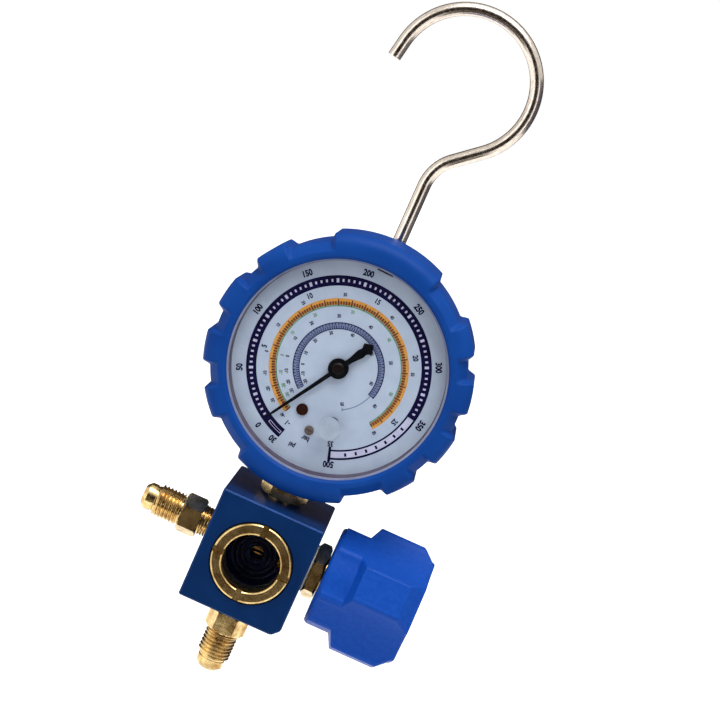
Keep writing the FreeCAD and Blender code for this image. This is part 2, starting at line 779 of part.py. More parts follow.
def lobe_body():
    """Full ring with the section of a lobe, before it is cut to the lobe's width."""
    reach = boot_lobe_radius
    foot = boot_lip_radius - 0.5
    ring = gauge_turned([
        (foot, boot_front), (reach, boot_front), (reach, boot_back - lobe_back_bevel),
        (reach - lobe_back_bevel, boot_back), (foot, boot_back)])
    return rounded(ring, lobe_front_rounding,
                   lambda edge: edge.BoundBox.YMax < boot_front + 0.01 and edge.BoundBox.XMax > reach - 0.01)


def gauge_boot():
    """Rubber boot round the case: plain ring, two big and eight small lobes, lips at front and back."""
    skin = gauge_turned([
        (boot_opening_radius, boot_front + boot_lip_bevel), (boot_opening_radius + boot_lip_bevel, boot_front),
        (boot_lip_radius, boot_front), (boot_valley_radius, boot_front + boot_slope_length),
        (boot_valley_radius, boot_back - boot_back_bevel), (boot_valley_radius - boot_back_bevel, boot_back),
        (boot_rear_opening_radius, boot_back), (boot_rear_opening_radius, case_back),
        (boot_opening_radius, case_back)])
    ring = lobe_body()
    for middle, half_angle in lobe_angles():
        skin = skin.fuse(ring.common(lobe_wedge(middle, half_angle)))
    skin = skin.removeSplitter()
    face_gap = 0.1
    front_room = bezel_radius + seat_gap
    rear_room = case_radius + seat_gap
    room_front = bezel_front - face_gap
    room = gauge_turned([
        (0, room_front), (front_room - bezel_bevel, room_front), (front_room, room_front + bezel_bevel),
        (front_room, bezel_skirt_back + seat_gap), (rear_room, bezel_skirt_back + seat_gap),
        (rear_room, case_back + face_gap), (0, case_back + face_gap)])
    skin = skin.cut(room)
    return skin.cut(rod(stem_hex_flats / math.sqrt(3) + seat_gap, 0, gauge_height - case_radius / 2))


def dial_plate():
    """Printed dial: centre hole, two screw holes, the zero screw's hole and a notch at its edge."""
    plate = gauge_rod(dial_radius, dial_front, dial_front + dial_thickness)
    plate = plate.cut(gauge_rod(dial_centre_hole, dial_front - 1, dial_front + 2))
    for place in dial_screw_places():
        plate = plate.cut(gauge_rod(dial_screw_radius + 0.1, dial_front - 1, dial_front + 2, place))
    zero_at = polar(zero_screw_circle_radius, zero_screw_angle)
    plate = plate.cut(gauge_rod(zero_screw_radius + running_gap, dial_front - 1, dial_front + 2, zero_at))
    half = dial_notch_width / 2
    notch = slab(-half, half, dial_front - 1, dial_front + 2, gauge_height + dial_radius - dial_notch_depth,
                 gauge_height + dial_radius + 1)
    notch.rotate(Vector(0, 0, gauge_height), BACK, dial_notch_angle)
    return plate.cut(notch)


def dial_screw_places():
    """The two screws that hold the dial sit low, one on each side of its middle."""
    return [polar(dial_screw_circle_radius, -dial_screw_angle), polar(dial_screw_circle_radius, dial_screw_angle)]


def dial_screws():
    """Two screws through the dial into the movement's front plate."""
    screws = []
    for place in dial_screw_places():
        head = gauge_rod(dial_screw_head_radius, dial_front - dial_screw_head_length, dial_front, place)
        shank = gauge_rod(dial_screw_radius, dial_front, front_plate_back, place)
        screws.append(head.fuse(shank).removeSplitter())
    return Part.makeCompound(screws)


def zero_adjust_screw():
    """Slotted screw that turns in the dial and the front plate to set the pointer's zero."""
    place = polar(zero_screw_circle_radius, zero_screw_angle)
    head = gauge_rod(zero_screw_head_radius, dial_front - 0.65, dial_front - running_gap, place)
    shank = gauge_rod(zero_screw_radius, dial_front - running_gap, front_plate_back + 0.3, place)
    screw = head.fuse(shank).removeSplitter()
    slot = slab(place[0] - 2, place[0] + 2, dial_front - 1, dial_front - 0.35, gauge_height + place[1] - 0.25,
                gauge_height + place[1] + 0.25)
    return screw.cut(slot)


def pointer():
    """Black pointer: tapered blade, hub, and a short tail that ends in a diamond."""
    blade = [(0.25, pointer_length - 0.3), (0.42, pointer_length - 3.3), (0.7, pointer_hub_radius)]
    tail = [(0.9, -5.0), (1.5, -8.8), (1.2, -10.0), (2.2, -11.6)]
    right_side = blade + tail
    left_side = [(-x, z) for x, z in reversed(right_side)]
    outline = [(0, pointer_length)] + right_side + [(0, -pointer_tail_length)] + left_side
    corners = [Vector(x, pointer_front, z) for x, z in outline]
    needle = polygon_face(corners).extrude(Vector(0, pointer_thickness, 0))
    hub = rod(pointer_hub_radius, pointer_front, pointer_front + pointer_hub_length, BACK)
    needle = needle.fuse(hub).removeSplitter()
    needle = needle.cut(rod(arbor_radius + 0.02, pointer_front - 1, pointer_front + 4, BACK))
    needle.rotate(Vector(0, 0, 0), BACK, pointer_zero_angle)
    needle.translate(Vector(0, 0, gauge_height))
    return needle


def pointer_cap():
    """Small turned cap on the pointer's hub."""
    front = pointer_front - pointer_cap_length
    return gauge_turned([(0, front), (pointer_cap_radius - 0.4, front), (pointer_cap_radius, front + 0.3),
                         (pointer_cap_radius, pointer_front), (0, pointer_front)])


def involute_flank(teeth, tip_radius, root_radius, thickness):
    """(radius, half angle) of one flank: the involute from the tip down to the base circle, then straight in."""
    pitch_radius = gear_module * teeth / 2
    base_radius = pitch_radius * math.cos(math.radians(pressure_angle))
    pitch_half_angle = thickness / 2 / pitch_radius

    def involute(radius):
        roll = math.sqrt(max(radius ** 2 / base_radius ** 2 - 1, 0))
        return roll - math.atan(roll)

    lowest = max(base_radius, root_radius)
    radii = [tip_radius + (lowest - tip_radius) * k / 3 for k in range(4)]
    if root_radius < lowest - 0.01:
        radii.append(root_radius)
    offset = pitch_half_angle + involute(pitch_radius)
    return [(radius, offset - involute(max(radius, base_radius))) for radius in radii]


def tooth(teeth, shift, middle_angle, foot_radius):
    """Corner points of one tooth about the origin, clockwise angles from +Z, down to a foot inside the rim."""
    pitch_radius = gear_module * teeth / 2
    tip_radius = pitch_radius + gear_module * (1 + shift)
    root_radius = pitch_radius - gear_module * (1.25 - shift)
    thickness = gear_module * (math.pi / 2 + 2 * shift * math.tan(math.radians(pressure_angle))) - tooth_backlash / 2
    flank = involute_flank(teeth, tip_radius, root_radius, thickness)
    flank.append((foot_radius, flank[-1][1]))
    left = [(radius, -half) for radius, half in reversed(flank)]
    corners = left + flank
    middle = math.radians(middle_angle)
    return [Vector(radius * math.sin(middle + angle), 0, radius * math.cos(middle + angle)) for radius, angle in corners]


def toothed(teeth, shift, tooth_angles, front, length, rim):
    """Teeth along Y added to a rim."""
    root_radius = gear_module * (teeth / 2 - 1.25 + shift)
    body = rim
    for angle in tooth_angles:
        corners = [corner + Vector(0, front, 0) for corner in tooth(teeth, shift, angle, root_radius - 0.3)]
        body = body.fuse(polygon_face(corners).extrude(Vector(0, length, 0)))
    return body.removeSplitter()


def pinion_arbor():
    """Arbor of the pointer with its pinion; a gap between two teeth faces straight down at the sector."""
    root_radius = gear_module * (pinion_teeth / 2 - 1.25 + profile_shift)
    rim = rod(root_radius, pinion_front, pinion_front + pinion_length, BACK)
    pitch = 360.0 / pinion_teeth
    angles = [180 + pitch * (k + 0.5) for k in range(pinion_teeth)]
    body = toothed(pinion_teeth, profile_shift, angles, pinion_front, pinion_length, rim)
    collet_radius = hairspring_inner_radius - hairspring_strip / 2 - seat_gap
    collet = rod(collet_radius, pinion_front + pinion_length, hairspring_front + hairspring_width, BACK)
    body = body.fuse(collet)
    body = body.fuse(rod(arbor_radius, pointer_front + 0.1, rear_plate_back - 0.1, BACK)).removeSplitter()
    body.translate(Vector(0, 0, gauge_height))
    return body


def sector_pivot():
    """The sector turns below the pinion, one gear distance down."""
    return 0.0, -gear_distance


def sector_gear():
    """Toothed sector with open arms and a tail that the link pulls; a tooth points straight up at the pinion."""
    root_radius = gear_module * (sector_full_teeth / 2 - 1.25 - profile_shift)
    first = tooth_pitch_angle * (sector_first_tooth - 0.5)
    last = tooth_pitch_angle * (sector_last_tooth + 0.5)
    back = sector_front + sector_thickness

    def at(radius, angle):
        return Vector(radius * math.sin(math.radians(angle)), sector_front, radius * math.cos(math.radians(angle)))

    def fan(inner, outer, start, end):
        middle = (start + end) / 2
        wire = Part.Wire([
            Part.LineSegment(at(inner, start), at(outer, start)).toShape(),
            Part.Arc(at(outer, start), at(outer, middle), at(outer, end)).toShape(),
            Part.LineSegment(at(outer, end), at(inner, end)).toShape(),
            Part.Arc(at(inner, end), at(inner, middle), at(inner, start)).toShape()])
        return Part.Face(wire).extrude(Vector(0, sector_thickness, 0))

    body = fan(1.0, root_radius, first, last)
    window = fan(4.5, root_radius - 2.2, first + 9, last - 9)
    body = body.cut(window)
    body = body.fuse(rod(2.6, sector_front, back, BACK))
    tail = slab(-tail_width / 2, tail_width / 2, sector_front, back, -tail_length, 0)
    tail = tail.fuse(rod(tail_width / 2, sector_front, back, BACK, Vector(0, 0, -tail_length)))
    tail = tail.cut(rod(link_pin_radius + running_gap, sector_front - 1, back + 1, BACK, Vector(0, 0, -tail_length)))
    tail.rotate(Vector(0, 0, 0), BACK, sector_middle_angle)
    body = body.fuse(tail).removeSplitter()
    tooth_angles = [tooth_pitch_angle * k for k in range(sector_first_tooth, sector_last_tooth + 1)]
    body = toothed(sector_full_teeth, -profile_shift, tooth_angles, sector_front, sector_thickness, body)
    body = body.cut(rod(pivot_radius + 0.02, sector_front - 1, back + 1, BACK))
    body.translate(Vector(0, 0, gauge_height - gear_distance))
    return body


def sector_arbor():
    """Arbor of the sector with a collar behind it."""
    back = sector_front + sector_thickness
    arbor = gauge_rod(pivot_radius, front_plate_front + 0.1, rear_plate_back - 0.1, sector_pivot())
    return arbor.fuse(gauge_rod(pivot_radius + 0.8, back, back + 1.2, sector_pivot())).removeSplitter()


def tail_pin_place():
    """(right, up) of the pin that joins the link to the sector's tail, at rest."""
    right, up = polar(tail_length, sector_middle_angle + 180)
    return right, up - gear_distance


def tube_tip_place():
    """(right, up) of the link's far pivot beside the free end of the tube."""
    return polar(tube_radius - tube_thickness / 2 - 1.6, tube_end_angle + tip_angle / 2)


def flat_bar(start, end, width, front, back):
    """Flat bar with round ends between two places in the gauge."""
    length = math.hypot(end[0] - start[0], end[1] - start[1])
    angle = math.degrees(math.atan2(end[0] - start[0], end[1] - start[1]))
    bar = slab(-width / 2, width / 2, front, back, 0, length)
    bar = bar.fuse(rod(width / 2, front, back, BACK))
    bar = bar.fuse(rod(width / 2, front, back, BACK, Vector(0, 0, length))).removeSplitter()
    bar.rotate(Vector(0, 0, 0), BACK, angle)
    bar.translate(Vector(start[0], 0, gauge_height + start[1]))
    return bar


def link_bar():
    """Thin link from the sector's tail to the tube's tip, with its pin through the tail."""
    link_back = link_front + link_thickness
    bar = flat_bar(tail_pin_place(), tube_tip_place(), link_width, link_front, link_back)
    pin = gauge_rod(link_pin_radius, sector_front - 0.2, link_front, tail_pin_place())
    rivet = gauge_rod(link_pin_radius + 0.2, link_front - 0.4, link_front, tube_tip_place())
    return bar.fuse(pin).fuse(rivet).removeSplitter()


def curved_bar(inner, outer, front, back, start, end):
    """Bar bent about the gauge's axis between two clockwise angles, with a flat section."""
    ring = gauge_turned([(inner, front), (outer, front), (outer, back), (inner, back)])
    middle = (start + end) / 2
    reach = 3 * outer
    corners = [in_gauge(0, 0, front - 1)]
    steps = 4
    for k in range(steps + 1):
        corners.append(in_gauge(reach, start + (end - start) * k / steps, front - 1))
    if end - start < 180:
        return ring.common(polygon_face(corners).extrude(Vector(0, back - front + 2, 0)))
    gap_middle = middle + 180
    gap_half = 180 - (end - start) / 2
    corners = [in_gauge(0, 0, front - 1), in_gauge(reach, gap_middle - gap_half, front - 1),
               in_gauge(reach, gap_middle, front - 1), in_gauge(reach, gap_middle + gap_half, front - 1)]
    return ring.cut(polygon_face(corners).extrude(Vector(0, back - front + 2, 0)))


def bourdon_bar(grown=0.0):
    """Outer form of the pressure tube, grown by a gap on every side."""
    half = tube_thickness / 2 + grown
    return curved_bar(tube_radius - half, tube_radius + half, tube_front - grown, tube_front + tube_depth + grown,
                      tube_start_angle, tube_end_angle)


def bourdon_tube():
    """Flattened tube bent to a C, open at the socket and closed by its tip."""
    solid = bourdon_bar()
    half = tube_thickness / 2 - tube_wall
    hollow = curved_bar(tube_radius - half, tube_radius + half, tube_front + tube_wall,
                        tube_front + tube_depth - tube_wall, tube_start_angle - 1, tube_end_angle + 1)
    return solid.cut(hollow)


def tube_tip():
    """Closed end of the tube, with a tab that reaches forward beside the link."""
    half = tube_thickness / 2
    tip = curved_bar(tube_radius - half, tube_radius + half, tube_front, tube_front + tube_depth, tube_end_angle,
                     tube_end_angle + tip_angle)
    tab_front = link_front + link_thickness + seat_gap
    tab = curved_bar(tube_radius - half - 3.0, tube_radius + half - 0.4, tab_front, tab_front + 0.8, tube_end_angle,
                     tube_end_angle + tip_angle)
    post = curved_bar(tube_radius - half, tube_radius + half - 0.4, tab_front, tube_front, tube_end_angle,
                      tube_end_angle + tip_angle)
    return tip.fuse(post).fuse(tab).removeSplitter()


def movement_plate(front, low, high):
    """Rounded plate of the movement with the two arbor holes."""
    plate = slab(-plate_half_width, plate_half_width, front, front + plate_thickness, gauge_height + low,
                 gauge_height + high)
    plate = plate.makeFillet(4.0, [edge for edge in plate.Edges if edge.BoundBox.YLength > plate_thickness / 2
                                   and edge.BoundBox.XLength < 0.01 and edge.BoundBox.ZLength < 0.01])
    plate = plate.cut(gauge_rod(arbor_radius + running_gap, front - 1, front + 3))
    return plate.cut(gauge_rod(pivot_radius + running_gap, front - 1, front + 3, sector_pivot()))


def movement_front_plate():
    """Plate behind the dial that carries the dial screws and the zero screw."""
    plate = movement_plate(front_plate_front, front_plate_low, front_plate_high)
    for place in dial_screw_places():
        plate = plate.cut(gauge_rod(dial_screw_radius + 0.02, front_plate_front - 1, front_plate_back + 1, place))
    zero_at = polar(zero_screw_circle_radius, zero_screw_angle)
    return plate.cut(gauge_rod(zero_screw_radius + running_gap, front_plate_front - 1, front_plate_back + 1, zero_at))


def movement_rear_plate():
    """Plate that is screwed to the socket."""
    plate = movement_plate(rear_plate_front, rear_plate_low, rear_plate_high)
    for place in movement_screw_places:
        plate = plate.cut(gauge_rod(dial_screw_radius + 0.1, rear_plate_front - 1, rear_plate_back + 1, place))
    return plate


def movement_pillars():
    """Four pillars that hold the plates apart."""
    return Part.makeCompound([gauge_rod(pillar_radius, front_plate_back, rear_plate_front, place)
                              for place in pillar_places])


def movement_screws():
    """Two screws through the rear plate into the socket."""
    screws = []
    for place in movement_screw_places:
        head = gauge_rod(movement_screw_head_radius, rear_plate_front - 0.7, rear_plate_front, place)
        shank = gauge_rod(dial_screw_radius - 0.02, rear_plate_front, 3.5, place)
        screws.append(head.fuse(shank).removeSplitter())
    return Part.makeCompound(screws)


def hairspring():
    """Flat spiral of half circles whose centres alternate, so that it grows evenly and stays tangent."""
    back = hairspring_front + hairspring_width
    half_strip = hairspring_strip / 2
    coil = None
    for k in range(hairspring_half_turns):
        radius = hairspring_inner_radius + k * hairspring_pitch / 2
        centre = 0.0 if k % 2 == 0 else hairspring_pitch / 2
        side = 1 if k % 2 == 0 else -1
        ring = tube(radius - half_strip, radius + half_strip, hairspring_front, back, BACK, Vector(centre, 0, 0))
        reach = 3 * radius + 5
        half_plane = slab(-reach, reach, hairspring_front - 1, back + 1, 0, reach)
        if side < 0:
            half_plane = slab(-reach, reach, hairspring_front - 1, back + 1, -reach, 0)
        arc = ring.common(half_plane)
        coil = arc if coil is None else coil.fuse(arc)
    coil = coil.removeSplitter()
    coil.translate(Vector(0, 0, gauge_height))
    return coil


def hairspring_stud():
    """Post on the rear plate that holds the outer end of the hairspring."""
    outer = hairspring_inner_radius + (hairspring_half_turns - 1) * hairspring_pitch / 2
    place = (-outer - hairspring_strip / 2 - 0.55, 0.0)
    return gauge_rod(0.5, hairspring_front - 0.2, rear_plate_front, place)


def hook_rod():
    """Bent rod: straight shank, a bend to the right, a crown that comes back over the shank, and a straight tip."""
    bend_centre = Vector(hook_neck_centre, hook_plane, hook_bend_height)
    crown_centre = Vector(hook_crown_offset, hook_plane, hook_crown_height)
    joint_angle = math.degrees(math.atan2(bend_centre.z - crown_centre.z, bend_centre.x - crown_centre.x))

    def on_circle(centre, radius, angle):
        return centre + Vector(radius * math.cos(math.radians(angle)), 0, radius * math.sin(math.radians(angle)))

    start = Vector(hook_shank_offset, hook_plane, hook_bottom)
    bend_start = Vector(hook_shank_offset, hook_plane, hook_bend_height)
    joint = on_circle(crown_centre, hook_crown_radius, joint_angle)
    bend_middle = on_circle(bend_centre, hook_neck_radius, (180 + joint_angle + 180) / 2)
    crown_middle = on_circle(crown_centre, hook_crown_radius, (joint_angle + hook_arc_end) / 2)
    arc_end = on_circle(crown_centre, hook_crown_radius, hook_arc_end)
    tip = on_circle(arc_end, hook_tip_length, hook_arc_end + 90)
    path = Part.Wire([Part.LineSegment(start, bend_start).toShape(), Part.Arc(bend_start, bend_middle, joint).toShape(),
                      Part.Arc(joint, crown_middle, arc_end).toShape(), Part.LineSegment(arc_end, tip).toShape()])
    section = Part.Wire([Part.makeCircle(hook_rod_radius, start, UP)])
    bar = path.makePipeShell([section], True, False)
    groove = tube(hook_rod_radius - hook_groove_depth, hook_rod_radius + 1,
                  hook_groove_height - hook_groove_length / 2, hook_groove_height + hook_groove_length / 2, UP,
                  Vector(hook_shank_offset, hook_plane, 0))
    return bar.cut(groove)


def hook_set_screw():
    """Grub screw from the back whose tip sits in the hook's groove, so that the hook swivels but stays in."""
    groove_floor = hook_plane + hook_rod_radius - hook_groove_depth
    tip_start = groove_floor + 0.1
    body_start = hook_plane + hook_rod_radius + 0.2
    at = Vector(hook_shank_offset, 0, hook_groove_height)
    body = rod(set_screw_radius - thread_gap, body_start, block_back - 0.2, BACK, at)
    return body.fuse(rod(set_screw_tip_radius, tip_start, body_start, BACK, at)).removeSplitter()


NODES = (
    manifold_block, left_service_port, bottom_service_port, sight_glass_ring, sight_glass, sight_glass_gasket,
    valve_bonnet, bonnet_seal, stem_packing, valve_piston, piston_seal, piston_oring, valve_stem, knob, knob_screw,
    gauge_socket, gauge_case, case_screws, blowout_plug, bezel_ring, lens, lens_plug, lens_gasket, dial_spacer,
    gauge_boot, dial_plate, dial_screws, zero_adjust_screw, pointer, pointer_cap, pinion_arbor, sector_gear, sector_arbor,
    link_bar, bourdon_tube, tube_tip, movement_front_plate, movement_rear_plate, movement_pillars, movement_screws,
    hairspring, hairspring_stud, hook_rod, hook_set_screw)

os.makedirs("parts", exist_ok=True)
for build in NODES:
    node = build()
    node.translate(-hanging_point)
    node.exportStep("parts/" + build.__name__ + ".step")
    print(build.__name__, len(node.Solids), round(node.Volume, 1), node.isValid())
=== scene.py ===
"""Looks of the refrigerant manifold gauge.

Finishes for the solids, detailed pieces over them, light and camera. Lengths are in metres, in the frame of
the solids: +Z up, -Y the front, +X towards the valve knob. On the dial, radii are in millimetres from its
centre and angles in degrees, clockwise from its top.
"""
import math

import bmesh
import bpy
import numpy as np
from mathutils import Matrix, Vector


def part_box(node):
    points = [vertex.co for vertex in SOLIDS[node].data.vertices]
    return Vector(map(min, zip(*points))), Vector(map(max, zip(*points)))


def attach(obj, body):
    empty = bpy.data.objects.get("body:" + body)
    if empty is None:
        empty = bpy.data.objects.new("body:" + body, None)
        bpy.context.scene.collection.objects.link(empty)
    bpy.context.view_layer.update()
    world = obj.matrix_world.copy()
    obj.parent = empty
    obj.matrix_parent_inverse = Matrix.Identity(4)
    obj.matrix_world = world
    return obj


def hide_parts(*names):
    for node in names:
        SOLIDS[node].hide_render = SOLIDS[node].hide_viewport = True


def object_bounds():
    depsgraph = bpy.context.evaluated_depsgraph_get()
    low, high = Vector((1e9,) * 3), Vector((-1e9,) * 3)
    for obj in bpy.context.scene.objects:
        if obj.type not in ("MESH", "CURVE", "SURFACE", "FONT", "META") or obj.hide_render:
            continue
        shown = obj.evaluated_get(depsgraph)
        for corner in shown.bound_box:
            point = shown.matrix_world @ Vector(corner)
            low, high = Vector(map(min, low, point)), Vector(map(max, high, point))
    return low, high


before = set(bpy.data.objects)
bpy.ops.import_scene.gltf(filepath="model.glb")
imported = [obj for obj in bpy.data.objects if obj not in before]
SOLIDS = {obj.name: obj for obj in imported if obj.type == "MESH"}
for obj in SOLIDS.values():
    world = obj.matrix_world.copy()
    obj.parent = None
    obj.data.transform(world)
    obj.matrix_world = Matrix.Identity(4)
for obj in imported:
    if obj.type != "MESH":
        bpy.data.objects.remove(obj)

cad_low, cad_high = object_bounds()

MM = 0.001

# Places taken from the solids
lens_low, lens_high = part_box("lens")
dial_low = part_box("dial_plate")[0]
block_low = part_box("manifold_block")[0]
knob_low, knob_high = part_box("knob")
boot_low, boot_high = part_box("gauge_boot")
hook_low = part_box("hook_rod")[0]
ring_low, ring_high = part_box("sight_glass_ring")
glass_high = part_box("sight_glass")[1]

GAUGE_X = (lens_low[0] + lens_high[0]) / 2
GAUGE_Z = (lens_low[2] + lens_high[2]) / 2
DIAL_Y = dial_low[1]
VALVE_Y = (knob_low[1] + knob_high[1]) / 2
VALVE_Z = (knob_low[2] + knob_high[2]) / 2
SIGHT_X = (ring_low[0] + ring_high[0]) / 2
SIGHT_Z = (ring_low[2] + ring_high[2]) / 2


def rgb(red, green, blue):
    """Linear colour of a screen colour given from 0 to 255."""
    screen = np.array([red, green, blue]) / 255
    linear = np.where(screen <= 0.04045, screen / 12.92, ((screen + 0.055) / 1.055) ** 2.4)
    return tuple(float(value) for value in linear) + (1.0,)


# Meshes

def closed_grid(grid, close_columns=False, cap_columns=False):
    """Vertices and faces of a grid of points whose last row joins its first.

    Neighbours are joined by quads. Closed columns join the last column to the first, and capped columns end in
    a fan about the middle of the first and the last ring.
    """
    rows, columns = grid.shape[:2]
    index = np.arange(rows * columns).reshape(rows, columns)
    points = grid.reshape(-1, 3)
    ring_index = np.vstack([index, index[:1]])
    quad_index = np.hstack([ring_index, ring_index[:, :1]]) if close_columns else ring_index
    corners = [quad_index[:-1, :-1], quad_index[1:, :-1], quad_index[1:, 1:], quad_index[:-1, 1:]]
    faces = np.stack(corners, -1).reshape(-1, 4).tolist()
    if cap_columns:
        middles = np.array([grid[:, 0].mean(0), grid[:, -1].mean(0)])
        first, last = rows * columns, rows * columns + 1
        points = np.vstack([points, middles])
        start, end = ring_index[:, 0], ring_index[:, -1]
        faces += np.stack([start[1:], start[:-1], np.full(rows, first)], -1).tolist()
        faces += np.stack([end[:-1], end[1:], np.full(rows, last)], -1).tolist()
    return points, faces


def joined(parts):
    """One set of vertices and faces from several."""
    points, faces, offset = [], [], 0
    for part_points, part_faces in parts:
        points.append(part_points)
        faces += [[corner + offset for corner in face] for face in part_faces]
        offset += len(part_points)
    return np.vstack(points), faces


def signed_volume(points, faces):
    """Volume enclosed by the faces, positive where they point outwards.

    A face is a fan of triangles from its first corner, and each adds a sixth of its corners' triple product.
    """
    total = 0.0
    for count in (3, 4):
        chosen = np.array([face for face in faces if len(face) == count])
        if len(chosen):
            first = points[chosen[:, 0]]
            for k in range(1, count - 1):
                second, third = points[chosen[:, k]], points[chosen[:, k + 1]]
                total += np.einsum("ij,ij->", first, np.cross(second, third)) / 6
    return total


def piece(name, shape, finish, body="manifold", sharp=40, stands_for=()):
    """Makes an object of the vertices and faces, turned outwards and smoothed up to the sharp angle."""
    points, faces = shape
    centre = points.mean(0)
    if signed_volume(points - centre, faces) < 0:
        faces = [face[::-1] for face in faces]
    mesh = bpy.data.meshes.new(name)
    mesh.from_pydata(points.tolist(), [], faces)
    mesh.polygons.foreach_set("use_smooth", np.ones(len(mesh.polygons), dtype=bool))
    mesh.set_sharp_from_angle(angle=math.radians(sharp))
    mesh.materials.append(finish)
    item = bpy.data.objects.new(name, mesh)
    bpy.context.scene.collection.objects.link(item)
    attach(item, body)
    if stands_for:
        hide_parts(*stands_for)
    return item


def turn_angles(count):
    """Evenly spaced angles of a full turn, in radians."""
    return np.arange(count) * (2 * np.pi / count)


def rounded_outline(corners, radii, samples):
    """Closed outline through corners with each corner replaced by an arc of its own radius.

    At a corner with unit directions a and b to its neighbours and half angle h, the arc touches the sides at
    radius / tan(h), and its points turn evenly from one touching point to the other.
    """
    corners = np.array(corners, float)
    points = []
    for k, corner in enumerate(corners):
        before = corners[k - 1] - corner
        after = corners[(k + 1) % len(corners)] - corner
        a = before / np.linalg.norm(before)
        b = after / np.linalg.norm(after)
        half = math.acos(np.clip(a @ b, -1, 1)) / 2
        radius = radii[k]
        centre = corner + (a + b) / np.linalg.norm(a + b) * radius / math.sin(half)
        start = corner + a * radius / math.tan(half) - centre
        end = corner + b * radius / math.tan(half) - centre
        sweep = math.atan2(start[0] * end[1] - start[1] * end[0], start @ end)
        turn = np.linspace(0, sweep, samples)
        points.append(centre + np.stack([start[0] * np.cos(turn) - start[1] * np.sin(turn),
                                         start[0] * np.sin(turn) + start[1] * np.cos(turn)], -1))
    return np.vstack(points)


# Materials

def material(name, colour, roughness, metallic=0.0, specular=0.5, alpha=1.0):
    """A node material with its constant values on the shader's own sockets."""
    made = bpy.data.materials.new(name)
    made.use_nodes = True
    shader = made.node_tree.nodes["Principled BSDF"]
    shader.inputs["Base Color"].default_value = colour
    shader.inputs["Roughness"].default_value = roughness
    shader.inputs["Metallic"].default_value = metallic
    shader.inputs["Specular IOR Level"].default_value = specular
    shader.inputs["Alpha"].default_value = alpha
    return made


def node(made, kind, settings=(), **inputs):
    """Adds a node, gives it its settings and fills its inputs: a value is set, an output socket is linked.

    An input goes by its name, or by i0 or i1 where the node's inputs share one name.
    """
    added = made.node_tree.nodes.new(kind)
    for setting, value in dict(settings).items():
        setattr(added, setting, value)
    for key, value in inputs.items():
        socket = added.inputs[int(key[1:])] if key in ("i0", "i1") else added.inputs[key]
        if isinstance(value, bpy.types.NodeSocket):
            made.node_tree.links.new(value, socket)
        else:
            socket.default_value = value
    return added


def object_place(made, scale=(1, 1, 1), centre=(0, 0, 0)):
    """Object coordinates about a centre, stretched by a scale, as a socket."""
    coordinates = made.node_tree.nodes.new("ShaderNodeTexCoord")
    offset = tuple(-c * s for c, s in zip(centre, scale))
    mapping = node(made, "ShaderNodeMapping", Vector=coordinates.outputs["Object"], Location=offset,
                   Scale=scale)
    return mapping.outputs["Vector"]


def noise(made, place, scale, detail, roughness=0.5):
    """Value of a noise pattern."""
    texture = node(made, "ShaderNodeTexNoise", Vector=place, Scale=scale, Detail=detail, Roughness=roughness)
    return texture.outputs["Fac"]


def shades(made, value, stops):
    """Colours spread over a value by (place, colour) stops."""
    ramp = node(made, "ShaderNodeValToRGB", Fac=value)
    elements = ramp.color_ramp.elements
    while len(elements) < len(stops):
        elements.new(0.5)
    for element, (place, colour) in zip(elements, stops):
        element.position = place
        element.color = colour
    return ramp.outputs["Color"]


def spread(made, value, low, high):
    """Moves a value from 0..1 to low..high."""
    changed = node(made, "ShaderNodeMapRange", Value=value)
    changed.inputs["To Min"].default_value = low
    changed.inputs["To Max"].default_value = high
    return changed.outputs["Result"]


def feed(made, socket, value):
    """Links a value to an input of the shader."""
    shader = made.node_tree.nodes["Principled BSDF"]
    made.node_tree.links.new(value, shader.inputs[socket])


def relief(made, height, distance, strength):
    """Fine relief on the shader's normal."""
    bump = node(made, "ShaderNodeBump", Height=height, Strength=strength, Distance=distance)
    feed(made, "Normal", bump.outputs["Normal"])


def anodised_block():
    """Satin blue anodising: faint cloudy tone and fine machining grain."""
    made = material("anodised_block", rgb(7, 46, 98), 0.36, metallic=0.25, specular=0.12)
    cloud = noise(made, object_place(made), 90, 4)
    feed(made, "Base Color", shades(made, cloud, [(0.3, rgb(5, 42, 91)), (0.7, rgb(9, 50, 104))]))
    grain = noise(made, object_place(made, (0.6, 0.6, 6)), 1600, 3)
    feed(made, "Roughness", spread(made, grain, 0.3, 0.44))
    relief(made, grain, 0.00002, 0.35)
    return made


def turned_metal(name, dark, bright, roughness, axis, centre):
    """Metal turned on a lathe: fine rings and a slight tarnish.

    The rings are noise over one value, the distance from the axis plus the height along it.
    """
    made = material(name, bright, roughness, metallic=1.0)
    flat = tuple(0 if k == axis else 1 for k in range(3))
    line = tuple(1 if k == axis else 0 for k in range(3))
    radial = node(made, "ShaderNodeVectorMath", {"operation": "LENGTH"}, i0=object_place(made, flat, centre))
    height = node(made, "ShaderNodeVectorMath", {"operation": "DOT_PRODUCT"},
                  i0=object_place(made, line, centre), i1=(1.0, 1.0, 1.0))
    both = node(made, "ShaderNodeMath", i0=radial.outputs["Value"], i1=height.outputs["Value"])
    rings = node(made, "ShaderNodeTexNoise", {"noise_dimensions": "1D"}, W=both.outputs[0], Scale=5400.0,
                 Detail=4.0)
    tarnish = noise(made, object_place(made), 260, 4, 0.6)
    feed(made, "Base Color", shades(made, tarnish, [(0.3, dark), (0.62, bright)]))
    feed(made, "Roughness", spread(made, rings.outputs["Fac"], roughness * 0.7, roughness * 1.4))
    relief(made, rings.outputs["Fac"], 0.00003, 0.5)
    return made


